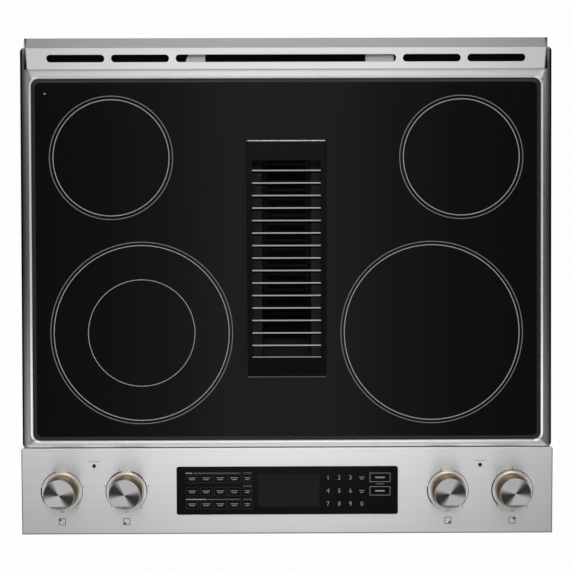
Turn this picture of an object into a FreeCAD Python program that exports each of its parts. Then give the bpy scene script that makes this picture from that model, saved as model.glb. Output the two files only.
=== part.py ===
import FreeCAD, Part
import math
import os
from FreeCAD import Placement, Rotation, Vector

# A 30 inch slide-in electric range with a downdraft vent in the middle of its glass cooktop.
# Millimetres. Origin on the floor under the middle of the range, +X right, +Y to the wall, +Z up.

# Overall sizes
DEPTH = 735.0
HANDLE_REACH = 97.5
TRIM_OVERHANG = 21.5
BODY_WIDTH = 757.2
COOKING_HEIGHT = 914.0
LEG_HEIGHT = 40.0

# Sheet metal, glass and fits
SHEET = 1.2
BASE_SHEET = 1.5
COVER_SHEET = 1.0
GLASS = 4.0
CLEAR = 0.3
RUNNING_FIT = 0.05

# Cooktop frame and glass
FRAME_OVERHANG = 0.6
FRAME_REAR_OVERHANG = 11.0
FRAME_SETBACK = 54.3
RIM_SIDE = 16.0
RIM_FRONT = 11.1
RIM_REAR = 45.2
RIM_RISE = 3.5
FRAME_SKIRT = 30.0
FRAME_WALL = 1.5
LEDGE_WIDTH = 13.0
LEDGE_THICKNESS = 1.5
FRAME_CORNER = 6.5
FRAME_EDGE_ROUND = 6.0
RIM_INNER_ROUND = 3.2
GLASS_CORNER = 10.0
GLASS_BEVEL_WIDTH = 5.0
GLASS_BEVEL_DEPTH = 1.2

# Burners
REAR_BURNER_RADIUS = 83.0
REAR_BURNER_SIDE_SHARE = 0.867
REAR_BURNER_END_SHARE = 0.219
FRONT_BURNER_RADIUS = 124.6
FRONT_BURNER_SIDE_SHARE = 0.619
FRONT_BURNER_END_SHARE = 0.2164
DISH_HEIGHT = 38.8
DISH_WALL = 10.0
DISH_FLOOR = 18.0
RIBBON_HEIGHT = 9.0
RIBBON_THICKNESS = 1.6
RIBBON_PITCH = 21.0
TRAY_FROM_LEDGE = 1.5

# Downdraft grille
GRILLE_WIDTH = 114.5
GRILLE_LENGTH = 339.3
GRILLE_RISE = 4.5
GRILLE_OFFSET = 1.1
GRILLE_OPENING_WIDTH = 98.0
GRILLE_OPENING_LENGTH = 280.4
GRILLE_ROUND = 2.0
GRILLE_SKIRT = 11.0
GRILLE_SKIRT_WALL = 1.5
GRILLE_SKIRT_GAP = 1.0
GRILLE_CORNER = 3.0
LOUVRE_COUNT = 15
LOUVRE_PITCH = 17.83
LOUVRE_THICKNESS = 2.2
LOUVRE_RUN = 2.5
LOUVRE_DROP = 11.5
LOUVRE_SINK = 0.8
LOUVRE_OFFSET = 1.2

# Plenum, filter and ducts
WELL_WIDTH = 103.0
WELL_LENGTH = 328.0
WELL_DEPTH = 17.0
THROAT_WIDTH = 71.0
THROAT_FRONT_STEP = 12.3
THROAT_DEPTH = 112.0
OUTLET_DROP = 50.0
FILTER_THICKNESS = 9.0
FILTER_FRONT_STEP = 36.0
FILTER_TILT = 19.0
FILTER_BORDER = 7.0
FILTER_SLOT = 9.0
FILTER_SLOT_PITCH = 13.0
DUCT_DEPTH = 66.0
DUCT_BACK_GAP = 1.1
DUCT_HEAD_HALF = 40.0
DUCT_LEFT_REACH = 100.0
DUCT_RIGHT_REACH = 68.0
ELBOW_HEIGHT = 62.5
ELBOW_GAP = 5.5
ELBOW_MARGIN = 8.0
DUCT_SHOULDER_DROP = 30.0
DUCT_TAPER = 120.0

# Blower and exhaust
BLOWER_X = -50.0
BLOWER_FROM_BACK = 216.0
BLOWER_HEIGHT = 116.5
SCROLL_START_RADIUS = 98.0
SCROLL_END_RADIUS = 155.0
SCROLL_ARC_COUNT = 7
BLOWER_OUTLET_WIDTH = 85.0
BLOWER_OUTLET_REACH = 132.0
EYE_RADIUS = 62.0
EYE_RING = 3.0
WHEEL_RADIUS = 92.0
WHEEL_RIM = 20.0
WHEEL_PLATE = 2.0
WHEEL_MOTOR_GAP = 5.3
BLADE_COUNT = 36
BLADE_THICKNESS = 1.4
BLADE_HEIGHT = 48.0
BLADE_SWEEP = 9.0
BLADE_MIDDLE_SHARE = 1 / 3
WHEEL_HUB_RADIUS = 14.0
WHEEL_HUB_HEIGHT = 12.0
MOTOR_RADIUS = 40.0
MOTOR_HEIGHT = 42.0
MOTOR_SHAFT = 4.0
COLLAR_RADIUS = 75.0
COLLAR_X = 130.0
COLLAR_HEIGHT = 125.0
COLLAR_STRAIGHT = 41.0
COLLAR_REACH = 20.0
COLLAR_CLEAR = 1.2

# Rear vent trim
TRIM_SIDE_INSET = 6.6
TRIM_TAPER = 5.2
TRIM_FRONT_FROM_REAR = 42.7
TRIM_RIDGE_FROM_REAR = 14.8
TRIM_RIDGE_RISE = 15.5
TRIM_FRONT_LIP = 4.0
TRIM_REAR_DROP = 7.0
TRIM_REAR_LEG = 34.0
TRIM_WALL = 1.5
TRIM_SLOT_WIDTH = 10.2
TRIM_SLOT_FROM_REAR = 28.6
TRIM_SLOT_END = 33.6
TRIM_SIDE_SLOT = 82.0
TRIM_SLOT_GAP = 9.5
TAB_LEFT_INSET = 11.0
TAB_LEFT_LENGTH = 30.4
TAB_RIGHT_INSET = 3.0
TAB_RIGHT_LENGTH = 40.0
TAB_DEPTH = 18.0
TAB_HEIGHT = 3.0
TAB_SLANT = 8.0

# Control console
CONSOLE_OVERHANG = 1.9
CONSOLE_DEPTH = 123.3
CONSOLE_GAP = 1.4
CONSOLE_RISE = 2.5
CONSOLE_BOTTOM_DROP = 46.0
CONSOLE_TILT = 1.5
CONSOLE_WALL = 1.5
CONSOLE_ROUND = 3.0
TOUCH_WIDTH = 317.0
TOUCH_LENGTH = 69.0
TOUCH_THICKNESS = 3.0
TOUCH_RISE = 0.6
TOUCH_CORNER = 2.8
TOUCH_FROM_REAR = 60.2
BOARD_MARGIN = 6.0
BOARD_THICKNESS = 10.0
DIAL_OUTER_FROM_SIDE = 57.5
DIAL_INNER_FROM_SIDE = 150.0
DIAL_FROM_REAR = 60.9
LENS_FROM_SIDE = 104.0
LENS_FROM_REAR = 24.0
LENS_RADIUS = 2.6
LENS_RISE = 0.8
LENS_DEPTH = 6.0

# Knobs and switches
KNOB_RADIUS = 23.0
KNOB_TOP_RADIUS = 22.2
KNOB_HEIGHT = 24.0
KNOB_GAP = 4.0
KNOB_TRAVEL = 3.0
KNOB_FACET_SHARE = 0.72
KNOB_FACET_DROP = 13.0
KNOB_CHAMFER = 0.6
BEZEL_RADIUS = 26.0
BEZEL_WALL = 2.0
BEZEL_HEIGHT = 2.4
SHAFT_RADIUS = 3.0
SHAFT_FLAT = 2.2
SHAFT_REACH = 14.0
PANEL_HOLE = 5.0
SWITCH_SIZE = 40.0
SWITCH_HEIGHT = 23.0
SWITCH_FLOOR = 1.7
ROTOR_RADIUS = 8.0

# Oven
OVEN_SIDE_GAP = 73.6
OVEN_ELBOW_GAP = 13.8
OVEN_PLENUM_GAP = 29.6
OVEN_CORNER = 18.0
INSULATION = 24.0
RIB_WIDTH = 8.0
RIB_HEIGHT = 5.0
RIB_FIRST = 55.0
RIB_LAST_DROP = 85.0
RIB_COUNT = 5
RIB_END_GAP = 30.0
LOWER_RACK_RIB = 1
UPPER_RACK_RIB = 3
RACK_GAP = 3.0
RACK_FRAME_RADIUS = 3.2
RACK_ROD_RADIUS = 2.0
RACK_ROD_COUNT = 13
RACK_FRONT_GAP = 30.0
RACK_REAR_GAP = 27.6
RACK_SINK = 0.6
RACK_CORNER = 13.0
ELEMENT_RADIUS = 3.5
BROIL_DROP = 28.0
BAKE_LIFT = 20.0
ELEMENT_MARGIN = 70.0
ELEMENT_BEND = 24.0
BROIL_LOOPS = 4
BAKE_LOOPS = 2
FAN_RADIUS = 75.0
FAN_DEPTH = 20.0
FAN_PLATE = 1.5
FAN_BLADES = 10
FAN_BLADE_THICKNESS = 1.5
FAN_HUB_RADIUS = 11.0
FAN_PADDLE_START = 22.0
FAN_WALL_GAP = 5.0
FAN_SHAFT = 4.0
FAN_SHAFT_HOLE = 9.0
RING_ELEMENT_RADIUS = 95.0
RING_LEAD_SPACING = 40.0
LEAD_RADIUS = 3.0
FAN_MOTOR_RADIUS = 38.0
FAN_MOTOR_LENGTH = 61.0
FAN_MOTOR_DUCT_GAP = 18.3
FAN_MOTOR_FLANGE = 52.0
FAN_MOTOR_FLANGE_THICKNESS = 3.0
FAN_COVER_SIZE = 270.0
FAN_COVER_DEPTH = 40.0
FAN_COVER_ROUND = 14.0
FAN_INTAKE_RADIUS = 52.0
FAN_INTAKE_SLOT = 7.0
FAN_INTAKE_PITCH = 14.0
FAN_OUTLET_COUNT = 6
FAN_OUTLET_LENGTH = 26.0
FAN_OUTLET_HEIGHT = 12.0
LAMP_FROM_SIDE = 80.0
LAMP_FROM_ROOF = 105.0
LAMP_RADIUS = 30.0
LAMP_DOME = 22.0
LAMP_RING = 6.0
LAMP_RING_THICKNESS = 5.0
LAMP_SOCKET = 14.0
GASKET_MARGIN = 8.0
GASKET_WIDTH = 12.0
GASKET_THICKNESS = 5.7

# Body panels
FRONT_FRAME_BOTTOM = 150.0
FLANGE = 20.0
TOE_SETBACK = 32.0
TOE_BOTTOM = 44.0
TOE_GAP = 1.0
TOE_SLOT_COUNT = 9
TOE_SLOT_LENGTH = 46.0
TOE_SLOT_HEIGHT = 5.0
TOE_SLOT_PITCH = 64.0
BACK_TOP_GAP = 4.0
BACK_SLOT_COUNT = 7
BACK_SLOT_LENGTH = 60.0
BACK_SLOT_HEIGHT = 6.0
BACK_SLOT_PITCH = 84.0
BACK_SLOT_DROP = 60.0
TERMINAL_FROM_SIDE = 138.6
TERMINAL_Z = 190.0
TERMINAL_WIDTH = 120.0
TERMINAL_HEIGHT = 110.0
TERMINAL_DEPTH = 19.0
TERMINAL_HOLE = 14.0

# Door
DOOR_TOP_GAP = 10.0
DOOR_BOTTOM_GAP = 16.0
DOOR_SIDE_INSET = 1.0
DOOR_THICKNESS = 46.0
DOOR_FRAME_GAP = 6.0
SKIN_RETURN = 22.0
LINER_WALL_DEPTH = 30.0
WINDOW_WIDTH = 470.0
WINDOW_HEIGHT = 280.0
WINDOW_FROM_TOP = 158.0
WINDOW_CORNER = 16.0
WINDOW_LAP = 20.0
HANDLE_RADIUS = 12.0
HANDLE_END_INSET = 52.6
HANDLE_FROM_TOP = 103.0
HANDLE_POST_INSET = 25.0
HANDLE_POST_RADIUS = 9.0
HANDLE_POST_FLANGE = 13.0
HANDLE_POST_FLANGE_THICKNESS = 4.0
HANDLE_CHAMFER = 2.0
HINGE_FROM_SIDE = 38.6
HINGE_FROM_FRAME = 30.0
HINGE_LIFT = 9.0
HINGE_PIN_RADIUS = 4.0
HINGE_ARM_WIDTH = 6.0
HINGE_EYE_RADIUS = 9.0
HINGE_ARM_HEIGHT = 14.0
HINGE_ARM_REACH = 60.0
HINGE_SIDE_GAP = 2.0
HINGE_CHANNEL_WALL = 2.0
HINGE_CHANNEL_HEIGHT = 120.0
HINGE_SLOT_MARGIN = 4.0
RECEIVER_HEIGHT = 90.0

# Levelling legs
LEG_FROM_SIDE = 48.6
LEG_FRONT_FROM_BODY = 35.0
LEG_REAR_FROM_BODY = 46.0
FOOT_RADIUS = 16.0
FOOT_HEIGHT = 8.0
STEM_RADIUS = 5.0
STEM_REACH = 32.0
LEG_FLANGE_RADIUS = 11.0
LEG_FLANGE_HEIGHT = 6.0

# Planes worked out from the driving dimensions
FRONT = -DEPTH / 2
REAR = DEPTH / 2
BODY_HALF = BODY_WIDTH / 2
BODY_FRONT = FRONT + HANDLE_REACH
BODY_BACK = REAR - TRIM_OVERHANG
INSIDE_HALF = BODY_HALF - SHEET
INSIDE_FRONT = BODY_FRONT + SHEET
PANEL_BACK = BODY_BACK - SHEET
INSIDE_BACK = PANEL_BACK - SHEET
BASE_TOP = LEG_HEIGHT + BASE_SHEET
LEG_X = BODY_HALF - LEG_FROM_SIDE
TERMINAL_X = TERMINAL_FROM_SIDE - BODY_HALF

GLASS_TOP = COOKING_HEIGHT
GLASS_BOTTOM = GLASS_TOP - GLASS
RIM_TOP = GLASS_TOP + RIM_RISE
SKIRT_BOTTOM = GLASS_TOP - FRAME_SKIRT
FRAME_HALF = BODY_HALF + FRAME_OVERHANG
FRAME_FRONT = BODY_FRONT + FRAME_SETBACK
FRAME_REAR = BODY_BACK + FRAME_REAR_OVERHANG
GLASS_HALF = FRAME_HALF - RIM_SIDE
GLASS_FRONT = FRAME_FRONT + RIM_FRONT
GLASS_REAR = FRAME_REAR - RIM_REAR
LEDGE_BOTTOM = GLASS_BOTTOM - LEDGE_THICKNESS
TRAY_FLOOR = GLASS_BOTTOM - DISH_HEIGHT - SHEET
TRAY_HALF = GLASS_HALF - LEDGE_WIDTH + TRAY_FROM_LEDGE
TRAY_FRONT = GLASS_FRONT + LEDGE_WIDTH - TRAY_FROM_LEDGE
TRAY_REAR = GLASS_REAR - LEDGE_WIDTH + TRAY_FROM_LEDGE

GRILLE_Y = (GLASS_FRONT + GLASS_REAR) / 2 + GRILLE_OFFSET
WELL_HALF = WELL_WIDTH / 2
WELL_FRONT = GRILLE_Y - WELL_LENGTH / 2
WELL_REAR = GRILLE_Y + WELL_LENGTH / 2
WELL_FLOOR = GLASS_BOTTOM - WELL_DEPTH
THROAT_HALF = THROAT_WIDTH / 2
THROAT_FRONT = WELL_FRONT + THROAT_FRONT_STEP
THROAT_FLOOR = WELL_FLOOR - THROAT_DEPTH
OUTLET_TOP = GLASS_BOTTOM - OUTLET_DROP
ZONE_INNER = WELL_HALF + SHEET + CLEAR
ZONE_OUTER = TRAY_HALF - SHEET
ZONE_FRONT = TRAY_FRONT + SHEET
ZONE_REAR = TRAY_REAR - SHEET
ZONE_SPARE = ZONE_REAR - ZONE_FRONT - 2 * (REAR_BURNER_RADIUS + FRONT_BURNER_RADIUS)
DUCT_REAR = INSIDE_BACK - DUCT_BACK_GAP
DUCT_FRONT = DUCT_REAR - DUCT_DEPTH

BLOWER_Y = BODY_BACK - BLOWER_FROM_BACK
BLOWER_TOP = BASE_TOP + BLOWER_HEIGHT
OUTLET_RIGHT = BLOWER_X + SCROLL_END_RADIUS
OUTLET_LEFT = OUTLET_RIGHT - BLOWER_OUTLET_WIDTH
OUTLET_END = BLOWER_Y + BLOWER_OUTLET_REACH
ELBOW_FLOOR = BLOWER_TOP + ELBOW_GAP
ELBOW_TOP = ELBOW_FLOOR + ELBOW_HEIGHT
DUCT_LEFT = BLOWER_X - DUCT_LEFT_REACH
DUCT_RIGHT = BLOWER_X + DUCT_RIGHT_REACH
DUCT_TOP = OUTLET_TOP + SHEET

CONSOLE_HALF = BODY_HALF + CONSOLE_OVERHANG
CONSOLE_REAR = FRAME_FRONT - CONSOLE_GAP
CONSOLE_FRONT = CONSOLE_REAR - CONSOLE_DEPTH
CONSOLE_TOP = GLASS_TOP + CONSOLE_RISE
CONSOLE_BOTTOM = GLASS_TOP - CONSOLE_BOTTOM_DROP
PANEL_SLOPE = math.tan(math.radians(CONSOLE_TILT))
DIAL_Y = CONSOLE_REAR - DIAL_FROM_REAR
DIAL_OUTER_X = CONSOLE_HALF - DIAL_OUTER_FROM_SIDE
DIAL_INNER_X = CONSOLE_HALF - DIAL_INNER_FROM_SIDE
LENS_X = CONSOLE_HALF - LENS_FROM_SIDE
DIAL_XS = {
    "rear_left": -DIAL_OUTER_X,
    "front_left": -DIAL_INNER_X,
    "front_right": DIAL_INNER_X,
    "rear_right": DIAL_OUTER_X,
}

TRIM_HALF = FRAME_HALF - TRIM_SIDE_INSET
TRIM_MIDDLE_HALF = TRIM_HALF - TRIM_SLOT_END - 2 * (TRIM_SIDE_SLOT + TRIM_SLOT_GAP)

OVEN_SKIN = SHEET + INSULATION
OVEN_HALF = BODY_HALF - OVEN_SIDE_GAP
OVEN_FLOOR = ELBOW_TOP + OVEN_ELBOW_GAP + OVEN_SKIN
OVEN_ROOF = THROAT_FLOOR - SHEET - OVEN_PLENUM_GAP - OVEN_SKIN
INSULATION_BACK = DUCT_FRONT - FAN_MOTOR_DUCT_GAP - FAN_MOTOR_LENGTH
OVEN_BACK = INSULATION_BACK - OVEN_SKIN
RIB_PITCH = (OVEN_ROOF - OVEN_FLOOR - RIB_FIRST - RIB_LAST_DROP) / (RIB_COUNT - 1)
FAN_Z = (OVEN_FLOOR + OVEN_ROOF) / 2
LAMP_X = LAMP_FROM_SIDE - OVEN_HALF

TOE_FACE = BODY_FRONT - TOE_SETBACK
TOE_TOP = FRONT_FRAME_BOTTOM - TOE_GAP
DOOR_HALF = BODY_HALF - DOOR_SIDE_INSET
DOOR_REAR = BODY_FRONT - DOOR_FRAME_GAP
DOOR_FACE = DOOR_REAR - DOOR_THICKNESS
DOOR_BOTTOM = FRONT_FRAME_BOTTOM + DOOR_BOTTOM_GAP
DOOR_TOP = CONSOLE_BOTTOM - DOOR_TOP_GAP
WINDOW_HALF = WINDOW_WIDTH / 2
WINDOW_TOP = DOOR_TOP - WINDOW_FROM_TOP
WINDOW_BOTTOM = WINDOW_TOP - WINDOW_HEIGHT
HANDLE_Y = FRONT + HANDLE_RADIUS
HANDLE_Z = DOOR_TOP - HANDLE_FROM_TOP
HANDLE_HALF = DOOR_HALF - HANDLE_END_INSET
HANDLE_POST_X = HANDLE_HALF - HANDLE_POST_INSET
HINGE_X = BODY_HALF - HINGE_FROM_SIDE
HINGE_Y = BODY_FRONT - HINGE_FROM_FRAME
HINGE_Z = DOOR_BOTTOM + HINGE_LIFT

X_AXIS = Vector(1, 0, 0)
Y_AXIS = Vector(0, 1, 0)
Z_AXIS = Vector(0, 0, 1)
OVERCUT = 1.0
SAME_PLACE = 0.01
SLOT_END_SHARE = 0.499


# Building blocks

def box(x0, x1, y0, y1, z0, z1):
    """Block between two corners."""
    return Part.makeBox(x1 - x0, y1 - y0, z1 - z0, Vector(x0, y0, z0))


def rod(radius, start, end):
    """Round bar between two points."""
    run = end - start
    return Part.makeCylinder(radius, run.Length, start, run)


def on_plane(axis, depth):
    """Maker of points on the plane square to an axis: (y, z), (x, z) or (x, y) pairs."""
    if axis == "x":
        return lambda u, v: Vector(depth, u, v)
    if axis == "y":
        return lambda u, v: Vector(u, depth, v)
    return lambda u, v: Vector(u, v, depth)


def along(axis, length):
    """Vector of a given length along an axis."""
    return {"x": X_AXIS, "y": Y_AXIS, "z": Z_AXIS}[axis] * length


def prism(points, axis, low, high):
    """Polygon extruded along an axis."""
    place = on_plane(axis, low)
    corners = [place(u, v) for u, v in points]
    face = Part.Face(Part.makePolygon(corners + corners[:1]))
    return face.extrude(along(axis, high - low))


def rounded_rectangle(axis, depth, u0, u1, v0, v1, radius):
    """Closed wire round a rectangle with round corners."""
    place = on_plane(axis, depth)
    inset = radius * (1 - math.sqrt(0.5))
    edges = [
        Part.LineSegment(place(u0 + radius, v0), place(u1 - radius, v0)),
        Part.Arc(place(u1 - radius, v0), place(u1 - inset, v0 + inset), place(u1, v0 + radius)),
        Part.LineSegment(place(u1, v0 + radius), place(u1, v1 - radius)),
        Part.Arc(place(u1, v1 - radius), place(u1 - inset, v1 - inset), place(u1 - radius, v1)),
        Part.LineSegment(place(u1 - radius, v1), place(u0 + radius, v1)),
        Part.Arc(place(u0 + radius, v1), place(u0 + inset, v1 - inset), place(u0, v1 - radius)),
        Part.LineSegment(place(u0, v1 - radius), place(u0, v0 + radius)),
        Part.Arc(place(u0, v0 + radius), place(u0 + inset, v0 + inset), place(u0 + radius, v0)),
    ]
    return Part.Wire([edge.toShape() for edge in edges])


def slab(axis, low, high, u0, u1, v0, v1, radius):
    """Plate with round corners, thick along an axis."""
    face = Part.Face(rounded_rectangle(axis, low, u0, u1, v0, v1, radius))
    return face.extrude(along(axis, high - low))


def round_slot(axis, low, high, u0, u1, v0, v1):
    """Cutter for a slot with round ends."""
    radius = min(u1 - u0, v1 - v0) * SLOT_END_SHARE
    return slab(axis, low, high, u0, u1, v0, v1, radius)


def fuse_all(shapes):
    """One solid from pieces that overlap."""
    return shapes[0].multiFuse(shapes[1:]).removeSplitter()


def cut_all(shape, cutters):
    """A solid less every cutter."""
    return shape.cut(cutters)


def edges_at_height(shape, height):
    """Edges that lie wholly at one height."""
    return [
        edge for edge in shape.Edges
        if abs(edge.BoundBox.ZMin - height) < SAME_PLACE and edge.BoundBox.ZLength < SAME_PLACE
    ]


def mirrored(shape):
    """The same shape on the other side of the range."""
    return shape.mirror(Vector(0, 0, 0), X_AXIS)


def both_sides(shape):
    """A piece and its mirror image as two solids."""
    return Part.makeCompound([shape, mirrored(shape)])


def bent_tube(points, bend, radius, closed=False):
    """Round tube through points, with a bend of one radius at each corner."""
    if closed:
        middle = (points[0] + points[1]) / 2
        points = [middle] + points[1:] + points[:1] + [middle]
    pieces = []
    last = points[0]
    for before, corner, after in zip(points, points[1:], points[2:]):
        to_before = (before - corner).normalize()
        to_after = (after - corner).normalize()
        half = to_before.getAngle(to_after) / 2
        start = corner + to_before * (bend / math.tan(half))
        centre = corner + (to_before + to_after).normalize() * (bend / math.sin(half))
        axis = to_after.cross(to_before)
        section = Part.Face(Part.Wire(Part.makeCircle(radius, start, to_before)))
        pieces.append(rod(radius, last, start))
        pieces.append(section.revolve(centre, axis, 180 - 2 * math.degrees(half)))
        last = corner + to_after * (bend / math.tan(half))
    pieces.append(rod(radius, last, points[-1]))
    return fuse_all(pieces)


def polar(radius, angle):
    """Point at a radius and an angle in radians."""
    return Vector(radius * math.cos(angle), radius * math.sin(angle), 0)


def save(name, shape):
    """Write one piece of the range."""
    shape.exportStep(os.path.join("parts", name + ".step"))


# Body panels

def side_panel():
    outline = [
        (BODY_FRONT, LEG_HEIGHT),
        (BODY_BACK, LEG_HEIGHT),
        (BODY_BACK, SKIRT_BOTTOM),
        (FRAME_FRONT, SKIRT_BOTTOM),
        (FRAME_FRONT, CONSOLE_BOTTOM),
        (BODY_FRONT, CONSOLE_BOTTOM),
    ]
    panel = prism(outline, "x", INSIDE_HALF, BODY_HALF)
    flange = box(INSIDE_HALF - FLANGE, INSIDE_HALF, PANEL_BACK, BODY_BACK, LEG_HEIGHT, SKIRT_BOTTOM)
    return panel.fuse(flange).removeSplitter()


def back_panel():
    top = SKIRT_BOTTOM - BACK_TOP_GAP
    panel = box(-INSIDE_HALF, INSIDE_HALF, INSIDE_BACK, PANEL_BACK, LEG_HEIGHT, top)
    collar = Vector(COLLAR_X, INSIDE_BACK - OVERCUT, COLLAR_HEIGHT)
    cuts = [rod(COLLAR_RADIUS + COLLAR_CLEAR, collar, collar + Y_AXIS * (SHEET + 2 * OVERCUT))]
    slot_z = top - BACK_SLOT_DROP
    for index in range(BACK_SLOT_COUNT):
        x = (index - (BACK_SLOT_COUNT - 1) / 2) * BACK_SLOT_PITCH
        cuts.append(round_slot("y", INSIDE_BACK - OVERCUT, PANEL_BACK + OVERCUT,
                               x - BACK_SLOT_LENGTH / 2, x + BACK_SLOT_LENGTH / 2,
                               slot_z - BACK_SLOT_HEIGHT / 2, slot_z + BACK_SLOT_HEIGHT / 2))
    return cut_all(panel, cuts)


def leg_places():
    front = BODY_FRONT + LEG_FRONT_FROM_BODY
    rear = BODY_BACK - LEG_REAR_FROM_BODY
    return {
        "front_left": (-LEG_X, front),
        "front_right": (LEG_X, front),
        "rear_left": (-LEG_X, rear),
        "rear_right": (LEG_X, rear),
    }


def base_pan():
    floor = box(-INSIDE_HALF, INSIDE_HALF, BODY_FRONT, INSIDE_BACK, LEG_HEIGHT, BASE_TOP)
    front = box(-INSIDE_HALF, INSIDE_HALF, BODY_FRONT, INSIDE_FRONT, LEG_HEIGHT, FRONT_FRAME_BOTTOM)
    side = box(INSIDE_HALF - SHEET, INSIDE_HALF, BODY_FRONT, INSIDE_BACK, LEG_HEIGHT, BASE_TOP + FLANGE)
    pan = fuse_all([floor, front, side, mirrored(side)])
    holes = []
    for x, y in leg_places().values():
        below = Vector(x, y, LEG_HEIGHT - OVERCUT)
        holes.append(rod(STEM_RADIUS + RUNNING_FIT, below, Vector(x, y, BASE_TOP + OVERCUT)))
    return cut_all(pan, holes)


def leg(x, y):
    foot = rod(FOOT_RADIUS, Vector(x, y, 0), Vector(x, y, FOOT_HEIGHT))
    stem = rod(STEM_RADIUS, Vector(x, y, FOOT_HEIGHT), Vector(x, y, LEG_HEIGHT + STEM_REACH))
    flange_base = Vector(x, y, LEG_HEIGHT - LEG_FLANGE_HEIGHT)
    flange = rod(LEG_FLANGE_RADIUS, flange_base, Vector(x, y, LEG_HEIGHT))
    return fuse_all([foot, stem, flange])


def hinge_slot(low, high):
    """Gap for a hinge arm through a sheet between two depths."""
    half_width = HINGE_ARM_WIDTH / 2 + HINGE_SIDE_GAP
    half_height = HINGE_ARM_HEIGHT / 2 + HINGE_SLOT_MARGIN
    slot = box(HINGE_X - half_width, HINGE_X + half_width, low, high,
               HINGE_Z - half_height, HINGE_Z + half_height)
    return [slot, mirrored(slot)]


def front_frame():
    plate = box(-INSIDE_HALF, INSIDE_HALF, BODY_FRONT, INSIDE_FRONT, FRONT_FRAME_BOTTOM, CONSOLE_BOTTOM)
    mouth = slab("y", BODY_FRONT - OVERCUT, INSIDE_FRONT + OVERCUT,
                 -OVEN_HALF, OVEN_HALF, OVEN_FLOOR, OVEN_ROOF, OVEN_CORNER)
    return cut_all(plate, [mouth] + hinge_slot(BODY_FRONT - OVERCUT, INSIDE_FRONT + OVERCUT))


def toe_panel():
    shell = box(-DOOR_HALF, DOOR_HALF, TOE_FACE, BODY_FRONT, TOE_BOTTOM, TOE_TOP)
    hollow = box(SHEET - DOOR_HALF, DOOR_HALF - SHEET, TOE_FACE + SHEET, BODY_FRONT + OVERCUT,
                 TOE_BOTTOM - OVERCUT, TOE_TOP - SHEET)
    slot_z = (TOE_BOTTOM + TOE_TOP) / 2
    cuts = [hollow]
    for index in range(TOE_SLOT_COUNT):
        x = (index - (TOE_SLOT_COUNT - 1) / 2) * TOE_SLOT_PITCH
        cuts.append(round_slot("y", TOE_FACE - OVERCUT, TOE_FACE + SHEET + OVERCUT,
                               x - TOE_SLOT_LENGTH / 2, x + TOE_SLOT_LENGTH / 2,
                               slot_z - TOE_SLOT_HEIGHT / 2, slot_z + TOE_SLOT_HEIGHT / 2))
    return cut_all(shell, cuts)


def terminal_cover():
    """Folded cover over the supply terminals, with a knock-out hole in its underside."""
    x0 = TERMINAL_X - TERMINAL_WIDTH / 2
    z0 = TERMINAL_Z - TERMINAL_HEIGHT / 2
    shell = box(x0, x0 + TERMINAL_WIDTH, PANEL_BACK, PANEL_BACK + TERMINAL_DEPTH, z0, z0 + TERMINAL_HEIGHT)
    hollow = box(x0 + SHEET, x0 + TERMINAL_WIDTH - SHEET, PANEL_BACK - OVERCUT,
                 PANEL_BACK + TERMINAL_DEPTH - SHEET, z0 + SHEET, z0 + TERMINAL_HEIGHT - SHEET)
    below = Vector(TERMINAL_X, PANEL_BACK, z0 - OVERCUT)
    hole = rod(TERMINAL_HOLE, below, below + Z_AXIS * (SHEET + 2 * OVERCUT))
    return cut_all(shell, [hollow, hole])


# Cooktop

def cooktop_frame():
    """Stainless rim round the glass, hollow below, with a ledge that carries the glass."""
    rim = slab("z", SKIRT_BOTTOM, RIM_TOP, -FRAME_HALF, FRAME_HALF, FRAME_FRONT, FRAME_REAR, FRAME_CORNER)
    rim = rim.makeFillet(FRAME_EDGE_ROUND, edges_at_height(rim, RIM_TOP))
    hollow = box(FRAME_WALL - FRAME_HALF, FRAME_HALF - FRAME_WALL, FRAME_FRONT + FRAME_WALL,
                 FRAME_REAR - FRAME_WALL, SKIRT_BOTTOM - OVERCUT, LEDGE_BOTTOM)
    seat = slab("z", GLASS_BOTTOM, RIM_TOP + OVERCUT, -GLASS_HALF - CLEAR, GLASS_HALF + CLEAR,
                GLASS_FRONT - CLEAR, GLASS_REAR + CLEAR, GLASS_CORNER + CLEAR)
    hole = box(LEDGE_WIDTH - GLASS_HALF, GLASS_HALF - LEDGE_WIDTH, GLASS_FRONT + LEDGE_WIDTH,
               GLASS_REAR - LEDGE_WIDTH, LEDGE_BOTTOM - OVERCUT, GLASS_BOTTOM + OVERCUT)
    frame = cut_all(rim, [hollow, seat, hole])
    inner = [e for e in edges_at_height(frame, RIM_TOP)
             if e.BoundBox.XLength < 2 * GLASS_HALF + OVERCUT
             and e.BoundBox.YMax < GLASS_REAR + OVERCUT
             and e.BoundBox.YMin > GLASS_FRONT - OVERCUT
             and max(abs(e.BoundBox.XMin), abs(e.BoundBox.XMax)) < GLASS_HALF + OVERCUT]
    return frame.makeFillet(RIM_INNER_ROUND, inner)


def cooktop_glass():
    """Ceramic glass with a bevelled edge and the cut-out for the vent well."""
    bevel = GLASS_BEVEL_WIDTH
    sections = [
        rounded_rectangle("z", GLASS_BOTTOM, -GLASS_HALF, GLASS_HALF,
                          GLASS_FRONT, GLASS_REAR, GLASS_CORNER),
        rounded_rectangle("z", GLASS_TOP - GLASS_BEVEL_DEPTH, -GLASS_HALF, GLASS_HALF,
                          GLASS_FRONT, GLASS_REAR, GLASS_CORNER),
        rounded_rectangle("z", GLASS_TOP, bevel - GLASS_HALF, GLASS_HALF - bevel,
                          GLASS_FRONT + bevel, GLASS_REAR - bevel, GLASS_CORNER - bevel / 2),
    ]
    plate = Part.makeLoft(sections, True, True)
    well = box(-WELL_HALF, WELL_HALF, WELL_FRONT, WELL_REAR, GLASS_BOTTOM - OVERCUT, GLASS_TOP + OVERCUT)
    return plate.cut(well)


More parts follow.
